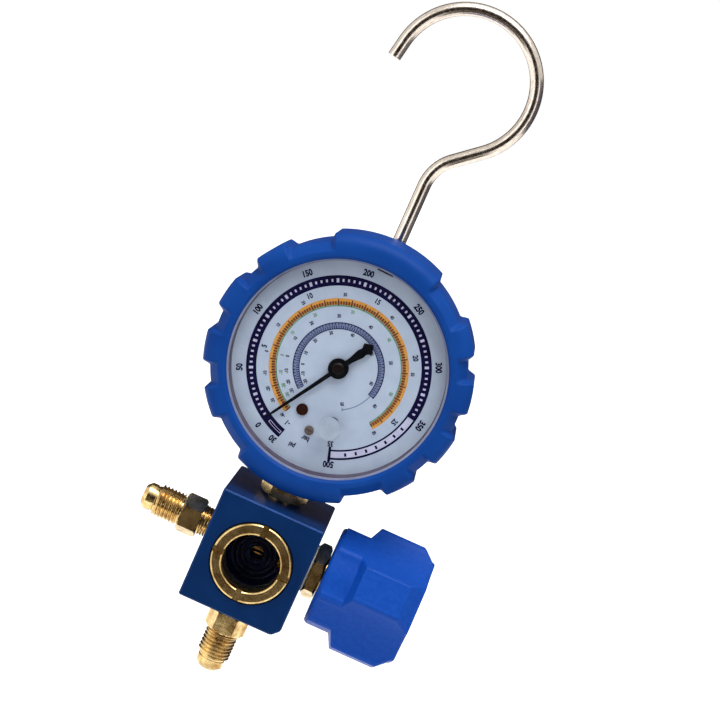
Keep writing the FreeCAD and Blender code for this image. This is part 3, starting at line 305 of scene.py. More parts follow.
def moulded_rubber():
    """Blue rubber: dull, faintly mottled, with a fine moulded grain."""
    made = material("boot_rubber", rgb(12, 62, 138), 0.44, specular=0.07)
    cloud = noise(made, object_place(made), 55, 4)
    feed(made, "Base Color", shades(made, cloud, [(0.3, rgb(9, 56, 130)), (0.7, rgb(15, 67, 146))]))
    grain = noise(made, object_place(made), 2200, 3)
    feed(made, "Roughness", spread(made, cloud, 0.36, 0.5))
    relief(made, grain, 0.00004, 0.35)
    return made


def textured_knob():
    """Blue moulded plastic with an eroded, leather-like grain."""
    made = material("knob_plastic", rgb(14, 70, 168), 0.42, specular=0.12)
    place = object_place(made)
    cells = node(made, "ShaderNodeTexVoronoi", Vector=place, Scale=900.0, Randomness=1.0)
    grain = noise(made, place, 1500, 4)
    mixed = node(made, "ShaderNodeMath", i0=cells.outputs["Distance"], i1=grain)
    cloud = noise(made, place, 700, 5, 0.6)
    feed(made, "Base Color", shades(made, cloud, [(0.3, rgb(11, 67, 163)), (0.7, rgb(17, 77, 174))]))
    feed(made, "Roughness", spread(made, grain, 0.36, 0.52))
    relief(made, mixed.outputs[0], 0.00005, 0.3)
    return made


def polished_rod():
    """Bright steel rod: long drawing streaks from the piece's own map, u round the rod and v along it."""
    made = material("hook_steel", rgb(214, 204, 190), 0.2, metallic=1.0)
    own = made.node_tree.nodes.new("ShaderNodeUVMap")
    own.uv_map = "rod"
    mapping = node(made, "ShaderNodeMapping", Vector=own.outputs["UV"], Scale=(14.0, 6.0, 1.0))
    streaks = noise(made, mapping.outputs["Vector"], 3.0, 5, 0.6)
    feed(made, "Base Color", shades(made, streaks, [(0.3, rgb(172, 154, 136)), (0.6, rgb(228, 218, 206))]))
    feed(made, "Roughness", spread(made, streaks, 0.12, 0.3))
    relief(made, streaks, 0.00002, 0.4)
    return made


def enamel(name, dark, bright, roughness=0.4, scale=300.0, specular=0.5):
    """Even paint or ink with a faint change of tone."""
    made = material(name, bright, roughness, specular=specular)
    cloud = noise(made, object_place(made), scale, 3)
    feed(made, "Base Color", shades(made, cloud, [(0.25, dark), (0.75, bright)]))
    return made


def plain_metal(name, dark, bright, roughness):
    """Pressed or plated metal with slight unevenness."""
    made = material(name, bright, roughness, metallic=1.0)
    cloud = noise(made, object_place(made), 400, 4)
    feed(made, "Base Color", shades(made, cloud, [(0.3, dark), (0.7, bright)]))
    feed(made, "Roughness", spread(made, cloud, roughness * 0.8, roughness * 1.3))
    return made


def clear_window(name, alpha, tint):
    """Clear plastic or glass: nearly see-through, with a faint mirror reflection and slight dust."""
    made = material(name, tint, 0.04, metallic=1.0, alpha=alpha)
    dust = noise(made, object_place(made), 700, 5, 0.7)
    feed(made, "Roughness", spread(made, dust, 0.02, 0.09))
    return made


BRASS_DARK = rgb(152, 116, 64)
BRASS_BRIGHT = rgb(232, 202, 140)
valve_centre = (0.0, VALVE_Y, VALVE_Z)
stem_centre = (GAUGE_X, VALVE_Y, 0.0)
ring_centre = (SIGHT_X, 0.0, SIGHT_Z)
gauge_centre = (GAUGE_X, 0.0, GAUGE_Z)

block_finish = anodised_block()
brass_x = turned_metal("brass_turned_along_x", BRASS_DARK, BRASS_BRIGHT, 0.22, 0, valve_centre)
brass_z = turned_metal("brass_turned_along_z", BRASS_DARK, BRASS_BRIGHT, 0.22, 2, stem_centre)
brass_ring = turned_metal("brass_ring", BRASS_DARK, BRASS_BRIGHT, 0.26, 1, ring_centre)
movement_brass = turned_metal("movement_brass", rgb(150, 112, 52), rgb(210, 172, 96), 0.3, 1, gauge_centre)
tube_bronze = plain_metal("tube_bronze", rgb(120, 78, 44), rgb(176, 120, 70), 0.32)
steel_x = turned_metal("stainless_turned", rgb(120, 120, 122), rgb(196, 196, 198), 0.24, 0, valve_centre)
steel_plain = plain_metal("stainless_plain", rgb(120, 120, 122), rgb(190, 190, 192), 0.28)
rim_metal = enamel("rim_metal", rgb(112, 118, 146), rgb(136, 142, 170), 0.3, 260.0, 0.6)
hook_finish = polished_rod()
boot_finish = moulded_rubber()
knob_finish = textured_knob()
black_rubber = enamel("black_rubber", rgb(14, 14, 16), rgb(30, 30, 33), 0.55)
seal_plastic = enamel("seal_plastic", rgb(196, 192, 182), rgb(222, 219, 210), 0.45)
case_enamel = enamel("case_enamel", rgb(16, 16, 19), rgb(30, 30, 34), 0.35, 180.0)
dial_enamel = enamel("dial_enamel", rgb(168, 182, 204), rgb(178, 192, 212), 0.5, 220.0, 0.2)
navy_ink = enamel("navy_ink", rgb(8, 5, 44), rgb(16, 12, 64), 0.5, specular=0.08)
pale_ink = enamel("pale_ink", rgb(178, 180, 210), rgb(198, 200, 226), 0.5)
orange_ink = enamel("orange_ink", rgb(196, 130, 42), rgb(216, 156, 68), 0.5, 900.0)
amber_ink = enamel("amber_ink", rgb(160, 92, 28), rgb(186, 116, 44), 0.5, 900.0)
brown_ink = enamel("brown_ink", rgb(44, 22, 20), rgb(74, 40, 28), 0.5)
green_ink = enamel("green_ink", rgb(70, 120, 84), rgb(110, 156, 118), 0.5)
slate_ink = enamel("slate_ink", rgb(92, 106, 146), rgb(110, 124, 162), 0.5, 700.0)
dark_screw = enamel("dark_screw", rgb(26, 10, 8), rgb(50, 22, 14), 0.32, specular=0.15)
zero_bronze = enamel("zero_bronze", rgb(74, 60, 58), rgb(112, 98, 94), 0.35, 900.0, 0.3)
hub_finish = enamel("hub_oxide", rgb(10, 8, 9), rgb(26, 17, 16), 0.34, specular=0.15)
pointer_black = enamel("pointer_black", rgb(4, 5, 8), rgb(10, 12, 18), 0.42, specular=0.1)
plug_finish = enamel("plug_plastic", rgb(146, 160, 180), rgb(168, 181, 198), 0.35, specular=0.2)
window_finish = clear_window("window", 0.008, rgb(240, 242, 248))
glass_finish = clear_window("sight_glass", 0.006, rgb(150, 168, 190))
# Dial spacer: a real ring between lens and dial, but its dark grey-purple is partly painted shade of the gap at
# the rim
spacer_tone_and_painted_shade = enamel("dial_spacer", rgb(58, 48, 66), rgb(88, 78, 96), 0.4)
# Lining of the sight chamber: its dark navy, far darker than the block's blue anodising, is painted shade of
# the recess behind the glass
well_painted_shade = enamel("sight_well", rgb(5, 8, 30), rgb(9, 16, 52), 0.45, 120.0, 0.1)

FINISH_OF = {
    "manifold_block": block_finish, "sight_glass_ring": brass_ring, "sight_glass": glass_finish,
    "sight_glass_gasket": black_rubber, "left_service_port": brass_x, "bottom_service_port": brass_z,
    "valve_bonnet": brass_x, "bonnet_seal": seal_plastic, "stem_packing": seal_plastic,
    "valve_piston": brass_x, "piston_seal": seal_plastic, "piston_oring": black_rubber, "valve_stem": steel_x,
    "knob": knob_finish, "knob_screw": steel_x, "gauge_socket": brass_z, "gauge_case": case_enamel,
    "case_screws": steel_plain, "blowout_plug": black_rubber, "bezel_ring": rim_metal, "lens": window_finish,
    "lens_plug": plug_finish, "lens_gasket": black_rubber, "gauge_boot": boot_finish,
    "dial_plate": dial_enamel, "dial_screws": dark_screw, "zero_adjust_screw": zero_bronze,
    "pointer": pointer_black, "pointer_cap": hub_finish,
    "pinion_arbor": movement_brass, "sector_gear": movement_brass, "sector_arbor": steel_plain,
    "link_bar": movement_brass, "bourdon_tube": tube_bronze, "tube_tip": tube_bronze,
    "movement_front_plate": movement_brass, "movement_rear_plate": movement_brass,
    "movement_pillars": movement_brass, "movement_screws": steel_plain, "hairspring": tube_bronze,
    "hairspring_stud": movement_brass, "hook_rod": hook_finish, "hook_set_screw": steel_plain,
    # The dial spacer's dark tone is partly painted shade of the rim gap
    "dial_spacer": spacer_tone_and_painted_shade,
}
for name, solid in SOLIDS.items():
    for place in solid.material_slots:
        place.material = FINISH_OF[name]


# Flare ports with real threads

PORT_SIDES = 144
HEX_FLATS = 12.0 * MM
PIPE_RADIUS = 5.13 * MM
PIPE_PITCH = 0.94 * MM
PIPE_DEPTH = 0.42 * MM
FLARE_RADIUS = 5.53 * MM
FLARE_PITCH = 1.27 * MM
FLARE_DEPTH = 0.62 * MM
FLARE_LEAD = 0.75 * MM
THREAD_FADE = 0.9 * MM
NOSE_RADIUS = 4.55 * MM
FACE_RADIUS = 3.15 * MM
RELIEF_RADIUS = 4.6 * MM
UNDERCUT_RADIUS = 4.25 * MM
BORE_RADIUS = 2.2 * MM
MOUTH_BEVEL = 0.4 * MM


def thread_wave(turns, distance, pitch):
    """Depth of a rounded thread from 0 at its crest to 1 at its root.

    It is a cosine of (distance / pitch - turns), sharpened so that the crest is narrow and the root is round.
    """
    wave = 0.5 - 0.5 * np.cos(2 * np.pi * (distance / pitch - turns))
    return wave ** 0.8


def fade(distance, start, end):
    """Rises smoothly from 0 at start to 1 at end: three squares less two cubes of the share of the way."""
    part = np.clip((distance - start) / (end - start), 0, 1)
    return part * part * (3 - 2 * part)


def hexagon_radius(angle, flats, turn, distance, start, end):
    """Radius of a hexagon whose corners are turned off by a cone at both ends.

    The prism is half the flats over the cosine of the angle from the flat's middle. The cone starts just inside
    the flats and widens at 30 degrees to the end face.
    """
    from_flat = (angle - turn + np.pi / 6) % (np.pi / 3) - np.pi / 6
    prism = flats / 2 / np.cos(from_flat)
    edge = np.minimum(distance - start, end - distance)
    cone = flats / 2 * 0.985 + edge / math.tan(math.radians(30))
    return np.minimum(prism, cone)


def flare_port(turn):
    """Flare fitting about +Z: radius over angle and distance, from the shank in the block to the bored nose.

    A thread is its crest's radius less the wave's depth, faded at both ends, and the nose is a 45 degree cone.
    """
    neck, hex_end, relief_end, thread_end = 3.8 * MM, 10.8 * MM, 11.4 * MM, 20.2 * MM
    undercut_end, nose_end = 20.9 * MM, 24.5 * MM
    shank_end = -8.7 * MM
    angle = turn_angles(PORT_SIDES)[:, None]
    turns = angle / (2 * np.pi)

    def stretch(start, end, count, radius):
        """Radius and distance of one length of the fitting, in even steps."""
        distance = np.linspace(start, end, count)[None, :]
        size = (PORT_SIDES, count)
        return np.broadcast_to(radius(distance), size), np.broadcast_to(distance, size)

    def pipe_thread(distance):
        """Straight pipe thread, faded out at the hexagon and at the shank's end."""
        depth = PIPE_DEPTH * thread_wave(turns, distance, PIPE_PITCH) * fade(distance, neck, neck - THREAD_FADE)
        return PIPE_RADIUS - depth * fade(distance, shank_end, shank_end + 0.6 * MM)

    def hexagon(distance):
        return hexagon_radius(angle, HEX_FLATS, turn, distance, neck, hex_end)

    def flare_thread(distance):
        """Flare thread that runs in over the relief and is cut down at its far end."""
        depth = FLARE_DEPTH * thread_wave(turns, distance, FLARE_PITCH)
        run_in = fade(distance, relief_end - 0.2 * MM, relief_end + 0.7 * MM)
        lead = FLARE_LEAD * (1 - fade(distance, thread_end, thread_end - THREAD_FADE))
        return FLARE_RADIUS - depth * run_in - lead

    def nose(distance):
        """Plain nose that falls at 45 degrees to its face."""
        bevel_start = nose_end - (NOSE_RADIUS - FACE_RADIUS)
        return NOSE_RADIUS - np.clip(distance - bevel_start, 0, None)

    def mouth(distance):
        """Bore that opens at 45 degrees to the face."""
        return BORE_RADIUS + np.clip(distance - (nose_end - MOUTH_BEVEL), 0, None)

    def even(radius):
        return lambda distance: np.full(distance.shape, radius)

    sections = [
        stretch(shank_end, neck, 84, pipe_thread),
        stretch(neck, hex_end, 40, hexagon),
        stretch(hex_end, relief_end, 3, even(RELIEF_RADIUS)),
        stretch(relief_end, thread_end, 130, flare_thread),
        stretch(thread_end, undercut_end, 4, even(UNDERCUT_RADIUS)),
        stretch(undercut_end, nose_end, 24, nose),
        stretch(nose_end, nose_end - MOUTH_BEVEL, 4, mouth),
        stretch(nose_end - MOUTH_BEVEL - 0.1 * MM, shank_end, 12, even(BORE_RADIUS)),
    ]
    radius = np.concatenate([section[0] for section in sections], 1)
    distance = np.concatenate([section[1] for section in sections], 1)
    return np.stack([radius * np.cos(angle), radius * np.sin(angle), distance], -1)


def aimed(grid, along, at):
    """Turns a grid built about +Z so that it points along a direction, and moves it to its place."""
    turned = Vector((0, 0, 1)).rotation_difference(Vector(along)).to_matrix()
    return grid @ np.array(turned).T + np.array(at)


piece("left_port_threaded",
      closed_grid(aimed(flare_port(math.radians(30)), (-1, 0, 0), (block_low[0], VALVE_Y, VALVE_Z)),
                  close_columns=True), brass_x, stands_for=["left_service_port"], sharp=28)
piece("bottom_port_threaded",
      closed_grid(aimed(flare_port(math.radians(0)), (0, 0, -1), (GAUGE_X, VALVE_Y, block_low[2])),
                  close_columns=True), brass_z, stands_for=["bottom_service_port"], sharp=28)


# Hanging hook

ROD_RADIUS = 2.25 * MM
CROWN_RADIUS = 23.5 * MM
NECK_RADIUS = 14.1 * MM
NECK_LINE = 10.5 * MM
SHANK_BESIDE_CROWN = 1.7 * MM
ARC_END = math.radians(169.3)
TIP_LENGTH = 6.1 * MM
ROD_SIDES = 40
ROD_CHAMFER = 0.45 * MM


def hook_path():
    """Centre line of the hook in its own plane: shank, bend, slanted neck, crown and straight tip, unkinked.

    Bend and crown curl opposite ways and the neck touches both. Its length and the sum of the two radii are the
    legs of a right triangle whose long side joins the centres, which gives the bend's height and the joint's
    angle. Returned are the (x, z) points, the first at the foot of the shank.
    """
    crown = np.array([0.0, ROD_RADIUS - CROWN_RADIUS])
    neck_x = SHANK_BESIDE_CROWN + NECK_RADIUS
    both_radii = CROWN_RADIUS + NECK_RADIUS
    neck_centre = np.array([neck_x, crown[1] - math.sqrt(both_radii ** 2 + NECK_LINE ** 2 - neck_x ** 2)])
    to_neck = math.atan2(neck_centre[1] - crown[1], neck_centre[0] - crown[0])
    joint = to_neck + math.atan2(NECK_LINE, both_radii)
    shank = np.stack([np.full(60, SHANK_BESIDE_CROWN), np.linspace(hook_low[2], neck_centre[1], 60)], -1)
    turn = np.linspace(math.pi, math.pi + joint, 40)[1:]
    bend = neck_centre + NECK_RADIUS * np.stack([np.cos(turn), np.sin(turn)], -1)
    neck = bend[-1] + np.array([-math.sin(joint), math.cos(joint)]) * np.linspace(0, NECK_LINE, 14)[1:, None]
    turn = np.linspace(joint, ARC_END, 150)[1:]
    round_crown = crown + CROWN_RADIUS * np.stack([np.cos(turn), np.sin(turn)], -1)
    ahead = np.array([-math.sin(ARC_END), math.cos(ARC_END)])
    tip = round_crown[-1] + ahead * np.linspace(0, TIP_LENGTH, 9)[1:, None]
    return np.vstack([shank, bend, neck, round_crown, tip])


def hook():
    """Round rod carried along the path; its two ends are chamfered by a smaller last ring."""
    points = hook_path()
    tangent = np.gradient(points, axis=0)
    tangent /= np.linalg.norm(tangent, axis=1)[:, None]
    tip_chamfer = ROD_CHAMFER * 0.5
    turn = turn_angles(ROD_SIDES)[:, None]
    y = hook_low[1] + ROD_RADIUS
    across = np.stack([-tangent[:, 1], tangent[:, 0]], -1)

    def ring(point, sideways, ring_radius):
        """Circle about a point of the path, square to it."""
        plane = point + sideways * (ring_radius * np.cos(turn))
        return np.stack([plane[:, 0], y + ring_radius * np.sin(turn[:, 0]), plane[:, 1]], -1)

    rings = [ring(points[0], across[0], ROD_RADIUS - ROD_CHAMFER),
             ring(points[0] + tangent[0] * ROD_CHAMFER, across[0], ROD_RADIUS)]
    rings += [ring(points[k], across[k], ROD_RADIUS) for k in range(1, len(points) - 1)]
    rings += [ring(points[-1] - tangent[-1] * tip_chamfer, across[-1], ROD_RADIUS),
              ring(points[-1], across[-1], ROD_RADIUS - tip_chamfer)]
    return np.stack(rings, 1)


def map_rod(rod):
    """Gives the rod its own map: u is half the sine of the angle round it, v a fiftieth of the ring's count."""
    corner_vertex = np.zeros(len(rod.data.loops), dtype=np.int32)
    rod.data.loops.foreach_get("vertex_index", corner_vertex)
    rings_on_rod = (len(rod.data.vertices) - 2) // ROD_SIDES
    side_of, ring_of = np.divmod(corner_vertex, rings_on_rod)
    around = np.sin(2 * np.pi * side_of / ROD_SIDES) * 0.5
    rod_map = rod.data.uv_layers.new(name="rod")
    rod_map.data.foreach_set("uv", np.stack([around, ring_of * 0.02], -1).ravel())


map_rod(piece("hook_bent_rod", closed_grid(hook(), cap_columns=True), hook_finish, body="hook",
              stands_for=["hook_rod"]))


# Rubber boot

BOOT_SIDES = 1080
BOOT_ARC = 6
# Radii and depths of the boot's section, in millimetres
BOOT_LIP, BOOT_LIP_EDGE, BOOT_RIM = 35.4, 36.3, 37.9
BOOT_VALLEY, BOOT_LOBE = 41.1, 43.5
BOOT_REAR_HOLE, BOOT_BORE, BOOT_FRONT_BORE = 34.0, 38.3, 39.2
BOOT_FLOOR = 1.1
BOOT_STEP = 8.4
BIG_LOBE = math.radians(24.4)
SMALL_LOBE = math.radians(6.4)
LOBE_FLANK = math.radians(2.5)
SMALL_LOBE_FIRST = math.radians(53.5)
SMALL_LOBE_PITCH = math.radians(25.0)
SMALL_LOBES = 4


def lobe_share(angle):
    """1 on a lobe's crest, 0 in a valley and a smooth flank between; the big lobes are at top and bottom."""
    share = np.zeros_like(angle)
    lobes = [(0.0, BIG_LOBE), (math.pi, BIG_LOBE)]
    for k in range(SMALL_LOBES):
        middle = SMALL_LOBE_FIRST + k * SMALL_LOBE_PITCH
        lobes += [(middle, SMALL_LOBE), (-middle, SMALL_LOBE)]
    for middle, half in lobes:
        away = np.abs((angle - middle + np.pi) % (2 * np.pi) - np.pi)
        share = np.maximum(share, fade(away, half + LOBE_FLANK, half - LOBE_FLANK * 0.1))
    return share


def boot():
    """Boot as a section carried round the gauge's axis.

    The section is the valley's plus the lobe share times the lobe's less the valley's. Its points are (radius,
    depth behind the dial) in millimetres, from the lip outwards, back and in again.
    """
    front = (boot_low[1] - DIAL_Y) / MM
    back = (boot_high[1] - DIAL_Y) / MM
    rear_floor = back - BOOT_FLOOR
    step = front + BOOT_STEP
    lip = [(BOOT_LIP, front + 1.3), (BOOT_LIP, front + 0.8), (BOOT_LIP_EDGE, front)]
    inside = [(BOOT_REAR_HOLE, back), (BOOT_REAR_HOLE, rear_floor), (BOOT_BORE, rear_floor), (BOOT_BORE, step),
              (BOOT_FRONT_BORE, step), (BOOT_FRONT_BORE, front + 2.1), (BOOT_FRONT_BORE - 0.8, front + 1.3)]
    valley = lip + [(BOOT_RIM, front), (BOOT_VALLEY, front + 3.8), (BOOT_VALLEY, back - 1.2),
                    (BOOT_VALLEY - 1.2, back)] + inside
    lobe = lip + [(BOOT_RIM, front), (BOOT_LOBE, front + 0.06), (BOOT_LOBE, back - 1.8),
                  (BOOT_LOBE - 1.8, back)] + inside
    lip_radii = [0.1, 0.3, 0.8]
    valley_radii = [0.8, 1.5, 0.6, 0.6]
    lobe_radii = [20.0, 4.3, 1.0, 0.6]
    inside_radii = [0.3, 0.2, 0.1, 0.1, 0.1, 0.1, 0.05]
    low = rounded_outline(valley, lip_radii + valley_radii + inside_radii, BOOT_ARC)
    high = rounded_outline(lobe, lip_radii + lobe_radii + inside_radii, BOOT_ARC)
    angle = turn_angles(BOOT_SIDES)
    share = lobe_share(angle)[:, None, None]
    section = low[None] + share * (high - low)[None]
    radius = section[..., 0] * MM
    return np.stack([GAUGE_X + radius * np.sin(angle)[:, None], DIAL_Y + section[..., 1] * MM,
                     GAUGE_Z + radius * np.cos(angle)[:, None]], -1)


piece("boot_moulded", closed_grid(boot(), close_columns=True), boot_finish,
      stands_for=["gauge_boot"], sharp=50)


# Valve knob

KNOB_SIDES = 480
KNOB_LENGTH = knob_high[0] - knob_low[0]
KNOB_BASE_RADIUS = 16.75 * MM
KNOB_FACE = 21.2 * MM
KNOB_TURN = math.radians(20.5)
KNOB_HALF_FACE = 5.8 * MM
KNOB_VALLEY = 17.0 * MM
KNOB_SOCKET = 8.2 * MM
KNOB_SOCKET_DEPTH = 7.0 * MM
KNOB_RECESS = 4.4 * MM
KNOB_RECESS_DEPTH = 3.6 * MM
KNOB_HUB_HOLE = 2.9 * MM


def softer_least(first, second, blend):
    """The lesser of two lengths, with the corner between them rounded over the blend length."""
    share = np.clip(0.5 + 0.5 * (second - first) / blend, 0, 1)
    return second + (first - second) * share - blend * share * (1 - share) * 0.5


def softer_most(first, second, blend):
    """The greater of two lengths, with the corner between them filled over the blend length."""
    return -softer_least(-first, -second, blend)


def valley_radius(angle):
    """Distance to the hollow between two lobes: an arc through both face corners and the valley's middle.

    With the corner at (face, half face) and the middle on the diagonal, the arc's centre lies on the diagonal
    where both are equally far, and the ray from the axis meets the arc's near side.
    """
    from_face = np.abs((angle + KNOB_TURN + np.pi / 4) % (np.pi / 2) - np.pi / 4)
    corner = np.array([KNOB_FACE, KNOB_HALF_FACE])
    diagonal = np.array([1, 1]) / math.sqrt(2)
    middle = KNOB_VALLEY
    centre = (corner @ corner - middle ** 2) / (2 * (corner @ diagonal - middle))
    arc = centre - middle
    away = np.pi / 4 - from_face
    root = arc ** 2 - (centre * np.sin(away)) ** 2
    return np.where(root > 0, centre * np.cos(away) - np.sqrt(np.maximum(root, 0)), 1.0)


def knob_radius(angle, distance):
    """Radius of the knob's side at an angle and a distance from its base.

    A face is flat, so its radius is its distance over the cosine of the angle from its middle. It steps up from
    the skirt and falls along the end's bevel. The lobes are the lesser of face and hollow, and the round skirt
    fills what lies below it.
    """
    from_face = (angle + KNOB_TURN + np.pi / 4) % (np.pi / 2) - np.pi / 4
    step_start, step_end, step_foot = 9.3 * MM, 11.6 * MM, KNOB_BASE_RADIUS - 0.4 * MM
    bevel_length, bevel_depth = 5.2 * MM, 4.6 * MM
    hollow_top, hollow_bevel, hollow_slope = 1.4 * MM, 2.2 * MM, 1.1
    skirt_end, skirt_slope = step_start + 2.6 * MM, 3
    bevel_blend, hollow_blend, edge_blend, skirt_blend = 1.4 * MM, 1.0 * MM, 1.9 * MM, 1.0 * MM
    rise = np.clip((distance - step_start) / (step_end - step_start), 0, 1)
    face = step_foot + (KNOB_FACE - step_foot) * rise
    end = KNOB_FACE - np.clip(distance - (KNOB_LENGTH - bevel_length), 0, None) * bevel_depth / bevel_length
    flat = softer_least(face, end, bevel_blend) / np.cos(from_face)
    from_top = np.clip(KNOB_LENGTH - hollow_top - distance, 0, None)
    valley_end = KNOB_VALLEY + hollow_bevel + from_top * hollow_slope
    hollow = softer_least(valley_radius(angle), valley_end, hollow_blend)
    lobes = softer_least(flat, hollow, edge_blend)
    skirt = KNOB_BASE_RADIUS - np.clip(distance - skirt_end, 0, None) * skirt_slope
    return softer_most(lobes, skirt, skirt_blend)


def knob():
    """Closed knob about +Z: socket, rounded base, lobed side, end face and screw recess as one grid.

    Each section gives a radius and a distance, and the roundings are quarter circles.
    """
    angle = turn_angles(KNOB_SIDES)[:, None]
    rounding, end_rounding = 1.2 * MM, 0.9 * MM
    socket_bevel, rim = 0.3 * MM, 0.35 * MM
    recess_floor = KNOB_LENGTH - KNOB_RECESS_DEPTH

    def whole(radius, distance):
        """Radius and distance at every angle."""
        radius, distance = np.broadcast_arrays(radius, distance)
        size = (KNOB_SIDES, radius.shape[-1])
        return np.broadcast_to(radius, size), np.broadcast_to(distance, size)

    def steps(start, end, count):
        """Even steps in one row."""
        return np.linspace(start, end, count)[None]

    quarter = steps(0, np.pi / 2, 7)
    side = steps(rounding, KNOB_LENGTH - end_rounding, 150)
    end_side = KNOB_LENGTH - end_rounding + end_rounding * np.sin(quarter)
    end_radius = knob_radius(angle, side[:, -1:]) - end_rounding * (1 - np.cos(quarter))
    last = end_radius[:, -1:]
    sections = [
        whole(KNOB_SOCKET, steps(KNOB_SOCKET_DEPTH, socket_bevel, 6)),
        whole(steps(KNOB_SOCKET + socket_bevel, KNOB_BASE_RADIUS - rounding, 8), 0.0),
        whole(KNOB_BASE_RADIUS - rounding + rounding * np.sin(quarter), rounding - rounding * np.cos(quarter)),
        whole(knob_radius(angle, side), side),
        whole(end_radius, end_side),
        whole(last + (KNOB_RECESS + rim - last) * steps(0, 1, 10)[:, 1:], KNOB_LENGTH),
        whole(KNOB_RECESS + rim * np.array([[0.3, 0.0]]), KNOB_LENGTH - rim * np.array([[0.3, 1.0]])),
        whole(KNOB_RECESS, steps(KNOB_LENGTH - 0.6 * MM, recess_floor, 5)),
        whole(steps(KNOB_RECESS, KNOB_HUB_HOLE, 4), recess_floor),
        whole(KNOB_HUB_HOLE, steps(recess_floor, KNOB_SOCKET_DEPTH, 8)),
    ]
    radius = np.concatenate([section[0] for section in sections], 1)
    distance = np.concatenate([section[1] for section in sections], 1)
    return np.stack([radius * np.cos(angle), radius * np.sin(angle), distance], -1)


piece("knob_moulded",
      closed_grid(aimed(knob(), (1, 0, 0), (knob_low[0], VALVE_Y, VALVE_Z)), close_columns=True), knob_finish,
      body="knob", stands_for=["knob"], sharp=50)


# Print on the dial

INK = 0.02 * MM
FIRST_LAYER, SECOND_LAYER, THIRD_LAYER = 0.5 * INK, 1.6 * INK, 1.7 * INK
CAPITAL_HEIGHT = 0.72
ZERO_ANGLE = -149.4
DEGREES_PER_PSI = 0.716
DEGREES_PER_BAR = DEGREES_PER_PSI * 14.504


def on_dial(radius, angle, lift):
    """Points at a distance from the dial's centre and a clockwise angle in degrees, lifted off the dial."""
    turn = np.radians(angle)
    radius, turn, lift = np.broadcast_arrays(radius * MM, turn, lift)
    return np.stack([GAUGE_X + radius * np.sin(turn), DIAL_Y - lift, GAUGE_Z + radius * np.cos(turn)], -1)


def band(inner, outer, start, end, lift=FIRST_LAYER):
    """Thin closed arc of ink between two radii and two angles."""
    count = max(int(abs(end - start)) + 2, 4)
    angle = np.linspace(start, end, count)[None, :]
    radius = np.array([inner, outer, outer, inner])[:, None]
    height = np.array([lift, lift, lift + INK, lift + INK])[:, None]
    return closed_grid(on_dial(radius, angle, height), cap_columns=True)


def marks(inner, outer, width, angles, lift=FIRST_LAYER):
    """Row of straight closed marks, each a small box across the given radii and of one width."""
    parts = []
    for angle in angles:
        half = math.degrees(width / 2 / ((inner + outer) / 2))
        parts.append(band(inner, outer, angle - half, angle + half, lift))
    return joined(parts)


def lettering(entries, height, bold, widen=0.82):
    """Words or numbers as flat closed shapes: entries are (text, radius, angle), each turned to its angle.

    The height is that of a capital, 0.72 of the letters' own unit, in millimetres.
    """
    parts = []
    for text, radius, angle in entries:
        curve = bpy.data.curves.new("lettering", "FONT")
        curve.body = text
        curve.size = 1.0
        curve.offset = bold
        curve.align_x = "CENTER"
        curve.align_y = "CENTER"
        curve.extrude = 0.5
        curve.resolution_u = 3
        holder = bpy.data.objects.new("lettering", curve)
        mesh = bpy.data.meshes.new_from_object(holder)
        shape = bmesh.new()
        shape.from_mesh(mesh)
        bmesh.ops.remove_doubles(shape, verts=shape.verts, dist=1e-5)
        bmesh.ops.triangulate(shape, faces=shape.faces)
        flat = np.array([vertex.co for vertex in shape.verts])
        faces = [[vertex.index for vertex in face.verts] for face in shape.faces]
        shape.free()
        bpy.data.objects.remove(holder)
        bpy.data.curves.remove(curve)
        bpy.data.meshes.remove(mesh)
        scale = height * MM / CAPITAL_HEIGHT
        turn = math.radians(angle)
        across = flat[:, 0] * scale * widen
        up = flat[:, 1] * scale
        centre = on_dial(radius, angle, FIRST_LAYER + 0.5 * INK)
        points = np.stack([centre[0] + across * math.cos(turn) + up * math.sin(turn),
                           centre[1] - flat[:, 2] * INK,
                           centre[2] - across * math.sin(turn) + up * math.cos(turn)], -1)
        parts.append((points, faces))
    return joined(parts)


def psi(value):
    """Angle of a pressure in pounds per square inch."""
    return ZERO_ANGLE + DEGREES_PER_PSI * value


def bar(value):
    """Angle of a pressure in bar."""
    return ZERO_ANGLE + DEGREES_PER_BAR * value


# Navy pressure scale: a pale mark at every 5 psi, a heavier one at every 25, a thin box before zero, and a pale
# field for the cramped end
NAVY_INNER, NAVY_OUTER = 26.5, 29.8
SCALE_START, SCALE_END, RETARD_END = -163.0, 101.0, 162.5
BOX_INNER, BOX_OUTER, BOX_LINE = 27.7, 28.6, 0.15
BOX_START, BOX_END = SCALE_START + 1.2, ZERO_ANGLE - 2.0
cell_psi = np.arange(5, 346, 5)
cell_angles = psi(cell_psi)

navy = [
    band(NAVY_INNER, NAVY_OUTER, SCALE_START, SCALE_END),
    band(NAVY_INNER, NAVY_INNER + 0.55, SCALE_END, RETARD_END),
    band(NAVY_OUTER - 0.65, NAVY_OUTER, SCALE_END, RETARD_END),
    marks(25.6, 30.4, 0.85, [RETARD_END]),
]
piece("dial_print_navy_scale", joined(navy), navy_ink)
cells = [
    marks(27.75, 28.65, 0.6, cell_angles[cell_psi % 25 != 0], lift=SECOND_LAYER),
    marks(27.5, 28.85, 0.85, cell_angles[cell_psi % 25 == 0], lift=SECOND_LAYER),
    band(BOX_INNER, BOX_INNER + BOX_LINE, BOX_START, BOX_END, lift=SECOND_LAYER),
    band(BOX_OUTER - BOX_LINE, BOX_OUTER, BOX_START, BOX_END, lift=SECOND_LAYER),
    marks(BOX_INNER, BOX_OUTER, 0.18, [BOX_START, BOX_END], lift=THIRD_LAYER),
    band(NAVY_INNER + 0.6, NAVY_OUTER - 0.7, SCALE_END + 1.5, RETARD_END - 1.0, lift=0.7 * INK),
]
piece("dial_print_pale_cells", joined(cells), pale_ink)
piece("dial_print_retard_marks", marks(27.6, 28.7, 0.7, np.linspace(110, 152, 7), lift=1.8 * INK), navy_ink)

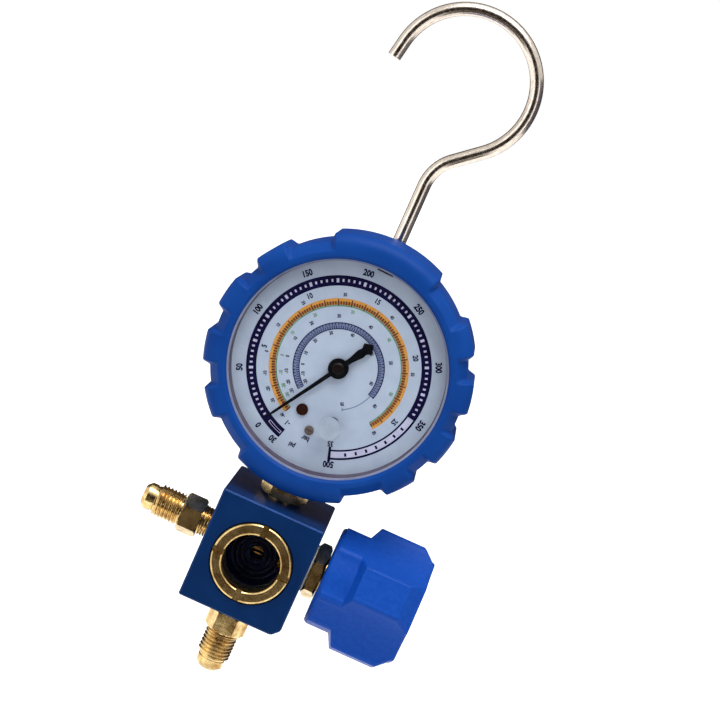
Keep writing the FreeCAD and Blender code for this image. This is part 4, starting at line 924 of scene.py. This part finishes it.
# Two-toned temperature band with a green line inside it
ORANGE_START, ORANGE_END = -153.0, 127.0
ORANGE_OUTER, ORANGE_INNER, AMBER_INNER = 22.5, 21.45, 20.4
FINE_TICKS, LONG_TICKS = 2.35, 11.75
piece("dial_print_orange_band", band(ORANGE_INNER, ORANGE_OUTER, ORANGE_START, ORANGE_END), orange_ink)
piece("dial_print_amber_band", band(AMBER_INNER, ORANGE_INNER, ORANGE_START, ORANGE_END), amber_ink)
piece("dial_print_green_line", band(19.9, 20.35, ORANGE_START, ORANGE_END), green_ink)
piece("dial_print_fine_ticks",
      joined([marks(20.45, 21.6, 0.42, np.arange(ORANGE_START, ORANGE_END, FINE_TICKS), lift=SECOND_LAYER),
              marks(20.1, 22.2, 0.36, np.arange(ORANGE_START, ORANGE_END, LONG_TICKS), lift=THIRD_LAYER)]),
      brown_ink)

# Inner temperature band with a single line running on from it
SLATE_START, SLATE_END, LINE_END = -141.0, 108.0, 151.5
SLATE_INNER, SLATE_OUTER = 12.55, 14.8
INNER_TICKS, OUTER_TICKS = 3.1, 4.2
piece("dial_print_slate_band",
      joined([band(SLATE_INNER, SLATE_OUTER, SLATE_START, SLATE_END), band(13.3, 13.6, SLATE_END, LINE_END),
              marks(12.9, 14.0, 0.25, [LINE_END])]), slate_ink)
piece("dial_print_slate_ticks",
      joined([band(SLATE_INNER, 12.8, SLATE_START, SLATE_END, lift=SECOND_LAYER),
              band(14.5, SLATE_OUTER, SLATE_START, SLATE_END, lift=SECOND_LAYER),
              marks(12.8, 13.7, 0.22, np.arange(SLATE_START, SLATE_END, INNER_TICKS), lift=SECOND_LAYER),
              marks(13.9, 14.6, 0.22, np.arange(SLATE_START, SLATE_END, OUTER_TICKS), lift=THIRD_LAYER)]),
      navy_ink)

# Figures. Temperatures stand at uneven angles, because a refrigerant's pressure rises ever faster with them
BIG_FIGURE, MIDDLE_FIGURE, SMALL_FIGURE = 2.0, 1.7, 1.15
PRESSURE_CIRCLE, BAR_CIRCLE = 31.85, 24.75
OUTER_CIRCLE, GREEN_CIRCLE, MIDDLE_CIRCLE, INNER_CIRCLE = 23.65, 18.55, 16.75, 11.5
temperatures = [str(value) for value in range(-40, 71, 10)]
outer_places = (-154.2, -140.5, -130.7, -118.1, -100.8, -78.4, -52.0, -18.6, 22.4, 70.5, 127.5)
green_places = (-141.6, -131.9, -118.6, -100.9, -76.4, -47.5, -9.7, 36.4, 92.2)
middle_places = (-140.0, -129.8, -117.3, -100.8, -79.5, -54.6, -23.2, 14.0, 59.9, 112.5)
inner_places = (-136.0, -123.3, -107.7, -89.1, -64.2, -35.6, -1.1, 42.0, 91.0, 150.6)
pressure_numbers = [(str(value), PRESSURE_CIRCLE, psi(value)) for value in range(0, 351, 50)]
pressure_numbers += [("500", 31.3, RETARD_END), ("30", 31.4, -161.0)]
bar_numbers = [(str(value), BAR_CIRCLE, bar(value)) for value in (5, 10, 15, 20, 25)]
bar_numbers += [("-1", 24.3, -161.0), ("35", 24.6, RETARD_END)]
piece("dial_print_pressure_numbers", lettering(pressure_numbers, BIG_FIGURE, 0.045), navy_ink)
piece("dial_print_bar_numbers", lettering(bar_numbers, MIDDLE_FIGURE, 0.04), navy_ink)
small_numbers = [(text, OUTER_CIRCLE, place) for text, place in zip(temperatures, outer_places)]
small_numbers += [(text, MIDDLE_CIRCLE, place) for text, place in zip(temperatures[1:], middle_places)]
small_numbers += [(text, INNER_CIRCLE, place) for text, place in zip(temperatures[2:], inner_places)]
piece("dial_print_small_numbers", lettering(small_numbers, SMALL_FIGURE, 0.04, 0.75), navy_ink)
green_numbers = [(text, GREEN_CIRCLE, place) for text, place in zip(temperatures[1:], green_places)]
piece("dial_print_green_numbers", lettering(green_numbers, SMALL_FIGURE, 0.04, 0.75), green_ink)
units = [("psi", 29.3, -172.5), ("bar", 25.3, -178.6)]
piece("dial_print_units", lettering(units, MIDDLE_FIGURE, 0.035), navy_ink)


# Sight glass chamber

WELL_SIDES = 120
BEHIND_GLASS = 1.1
WELL_RADIUS, WELL_DEPTH, PASSAGE_RADIUS = 9.2, 4.35, 2.6
WALL_THICKNESS, FLOOR_THICKNESS = 0.07, 0.1
RIPPLE_PITCH, RIPPLE_HEIGHT = 1.65, 0.22
RIDGE_INNER, RIDGE_OUTER, RIDGE_HEIGHT = 5.6, 6.6, 0.9


def sight_well():
    """Lining of the chamber behind the sight glass: a smooth wall, and a floor that shows a few turned rings.

    The floor rises by a cosine of the radius, with one ridge on it. Radii and depths are in millimetres.
    """
    front = glass_high[1] + BEHIND_GLASS * MM
    floor_radius = np.linspace(WELL_RADIUS, PASSAGE_RADIUS, 60)
    ripple = 0.5 - 0.5 * np.cos(2 * np.pi * (WELL_RADIUS - floor_radius) / RIPPLE_PITCH)
    ridge = (floor_radius > RIDGE_INNER) & (floor_radius < RIDGE_OUTER)
    floor_depth = WELL_DEPTH - RIPPLE_HEIGHT * ripple - RIDGE_HEIGHT * ridge
    outer, under = WELL_RADIUS + WALL_THICKNESS, WELL_DEPTH + FLOOR_THICKNESS
    radius = np.concatenate([np.full(4, WELL_RADIUS), floor_radius, [PASSAGE_RADIUS, outer, outer]]) * MM
    depth = np.concatenate([np.linspace(0, WELL_DEPTH, 4), floor_depth, [under, under, 0]]) * MM
    angle = turn_angles(WELL_SIDES)[:, None]
    depth = np.broadcast_to(depth, (WELL_SIDES, len(depth)))
    return np.stack([SIGHT_X + radius * np.sin(angle), front + depth, SIGHT_Z + radius * np.cos(angle)], -1)


# The lining's dark navy finish is painted shade of the chamber, laid over the block's own blue
piece("sight_chamber_lining", closed_grid(sight_well(), close_columns=True), well_painted_shade,
      sharp=25)


# Floor, light and camera

FLOOR_GAP = 0.03
FLOOR_HALF = 6.0
FLOOR_GLOW = 0.8
GAUGE_AIM = (GAUGE_X, VALVE_Y, GAUGE_Z - 0.02)


def seen_directly(made):
    """1 for rays of the camera, of reflections and through glass, 0 for the rest: the greatest of the three."""
    rays = node(made, "ShaderNodeLightPath").outputs
    seen = rays["Is Camera Ray"]
    for kind in ("Is Glossy Ray", "Is Transmission Ray"):
        seen = node(made, "ShaderNodeMath", {"operation": "MAXIMUM"}, i0=seen, i1=rays[kind]).outputs[0]
    return seen


def sheet(name, low, high, finish):
    """Flat rectangle between two opposite corners, which share one of their coordinates."""
    across = next(axis for axis in range(3) if low[axis] != high[axis])
    corners = np.array([low, low, high, high], float)
    corners[1, across], corners[3, across] = high[across], low[across]
    mesh = bpy.data.meshes.new(name)
    mesh.from_pydata(corners.tolist(), [], [(0, 1, 2, 3)])
    mesh.materials.append(finish)
    item = bpy.data.objects.new(name, mesh)
    bpy.context.scene.collection.objects.link(item)
    return item


def dark_card(name, low, high, shade):
    """Card near the object that only reflections see, as a black card gives metal its contrast in a studio."""
    card = sheet(name, low, high, material(name, shade + (1.0,), 1.0, specular=0.0))
    card.visible_camera = False
    card.visible_diffuse = False
    card.visible_transmission = False
    card.visible_shadow = False


def stage_floor():
    """Pale floor under the hanging gauge: the camera sees it white, and it keeps the gauge's shadow."""
    made = material("floor_paper", rgb(236, 236, 236), 0.9, specular=0.1)
    nodes = made.node_tree.nodes
    strength = node(made, "ShaderNodeMath", {"operation": "MULTIPLY"}, i0=seen_directly(made), i1=FLOOR_GLOW)
    glow = node(made, "ShaderNodeEmission", Strength=strength.outputs[0])
    both = node(made, "ShaderNodeAddShader", i0=nodes["Principled BSDF"].outputs[0], i1=glow.outputs[0])
    made.node_tree.links.new(both.outputs[0], nodes["Material Output"].inputs["Surface"])
    height = cad_low[2] - FLOOR_GAP
    floor = sheet("floor", (-FLOOR_HALF, -FLOOR_HALF, height), (FLOOR_HALF, FLOOR_HALF, height), made)


def studio_world():
    """White to the camera, in metal and through glass, and as light a gradient from dark below to bright above.

    The gradient is over the height of the ray's direction, moved from -1..1 to 0..1.
    """
    world = bpy.data.worlds.new("studio")
    world.use_nodes = True
    bpy.context.scene.world = world
    world.node_tree.nodes.clear()
    direction = node(world, "ShaderNodeTexCoord").outputs["Generated"]
    parts = node(world, "ShaderNodeSeparateXYZ", i0=direction)
    height = node(world, "ShaderNodeMapRange", Value=parts.outputs["Z"])
    height.inputs["From Min"].default_value = -1.0
    gradient = shades(world, height.outputs[0], [(0.35, (0.14, 0.14, 0.15, 1)), (0.85, (0.6, 0.6, 0.6, 1))])
    mix = node(world, "ShaderNodeMix", {"data_type": "RGBA"}, Factor=seen_directly(world), A=gradient,
               B=(1, 1, 1, 1))
    background = node(world, "ShaderNodeBackground", Color=mix.outputs["Result"])
    node(world, "ShaderNodeOutputWorld", Surface=background.outputs[0])


def soft_lamp(name, place, size, power):
    """Rectangular soft lamp turned from its place to the gauge."""
    data = bpy.data.lights.new(name, "AREA")
    data.shape = "RECTANGLE"
    data.size, data.size_y = size
    data.energy = power
    lamp = bpy.data.objects.new(name, data)
    lamp.location = place
    lamp.rotation_mode = "QUATERNION"
    lamp.rotation_quaternion = (Vector(GAUGE_AIM) - Vector(place)).to_track_quat("-Z", "Y")
    lamp.visible_camera = False
    bpy.context.scene.collection.objects.link(lamp)


CAMERA_PLACE = (GAUGE_X + 15.74 * MM, VALVE_Y - 600.743 * MM, GAUGE_Z + 94.405 * MM)
CAMERA_RIGHT = (0.912364, 0.07679422, 0.40211264)
CAMERA_UP = (-0.40899952, 0.12865319, 0.90342003)
CAMERA_FORWARD = (-0.01764436, 0.98871179, -0.14878734)
SENSOR = 36.0
LENS = 93.96


def photo_camera():
    """Camera at the photograph's viewing angle, worked out from the flare thread, the block and the dial."""
    data = bpy.data.cameras.new("photo_camera")
    data.sensor_width = SENSOR
    data.lens = LENS
    data.clip_start, data.clip_end = 0.01, 50.0
    camera = bpy.data.objects.new("photo_camera", data)
    backward = [-value for value in CAMERA_FORWARD]
    turned = Matrix([CAMERA_RIGHT, CAMERA_UP, backward]).transposed()
    camera.matrix_world = Matrix.Translation(CAMERA_PLACE) @ turned.to_4x4()
    bpy.context.scene.collection.objects.link(camera)
    bpy.context.scene.camera = camera


stage_floor()
studio_world()
soft_lamp("overhead", place=(0.0, -0.26, 0.46), size=(0.5, 0.35), power=3.9)
soft_lamp("front_left", place=(-0.75, -0.7, 0.1), size=(0.5, 0.7), power=1.1)
soft_lamp("front_right", place=(0.8, -0.6, -0.05), size=(0.4, 0.7), power=0.7)
dark_card("card_in_front", low=(-0.5, -0.9, -0.55), high=(0.5, -0.9, 0.4), shade=(0.03, 0.022, 0.018))
dark_card("card_behind", low=(-0.9, 0.6, -0.6), high=(0.9, 0.6, 0.9), shade=(0.13, 0.1, 0.08))
dark_card("card_below", low=(-0.2, -0.9, -0.257), high=(0.22, -0.12, -0.257), shade=(0.09, 0.074, 0.06))
dark_card("card_at_right", low=(0.45, -0.35, -0.16), high=(0.45, 0.6, 0.2), shade=(0.1, 0.1, 0.13))
photo_camera()

bpy.context.scene.view_settings.view_transform = "Standard"
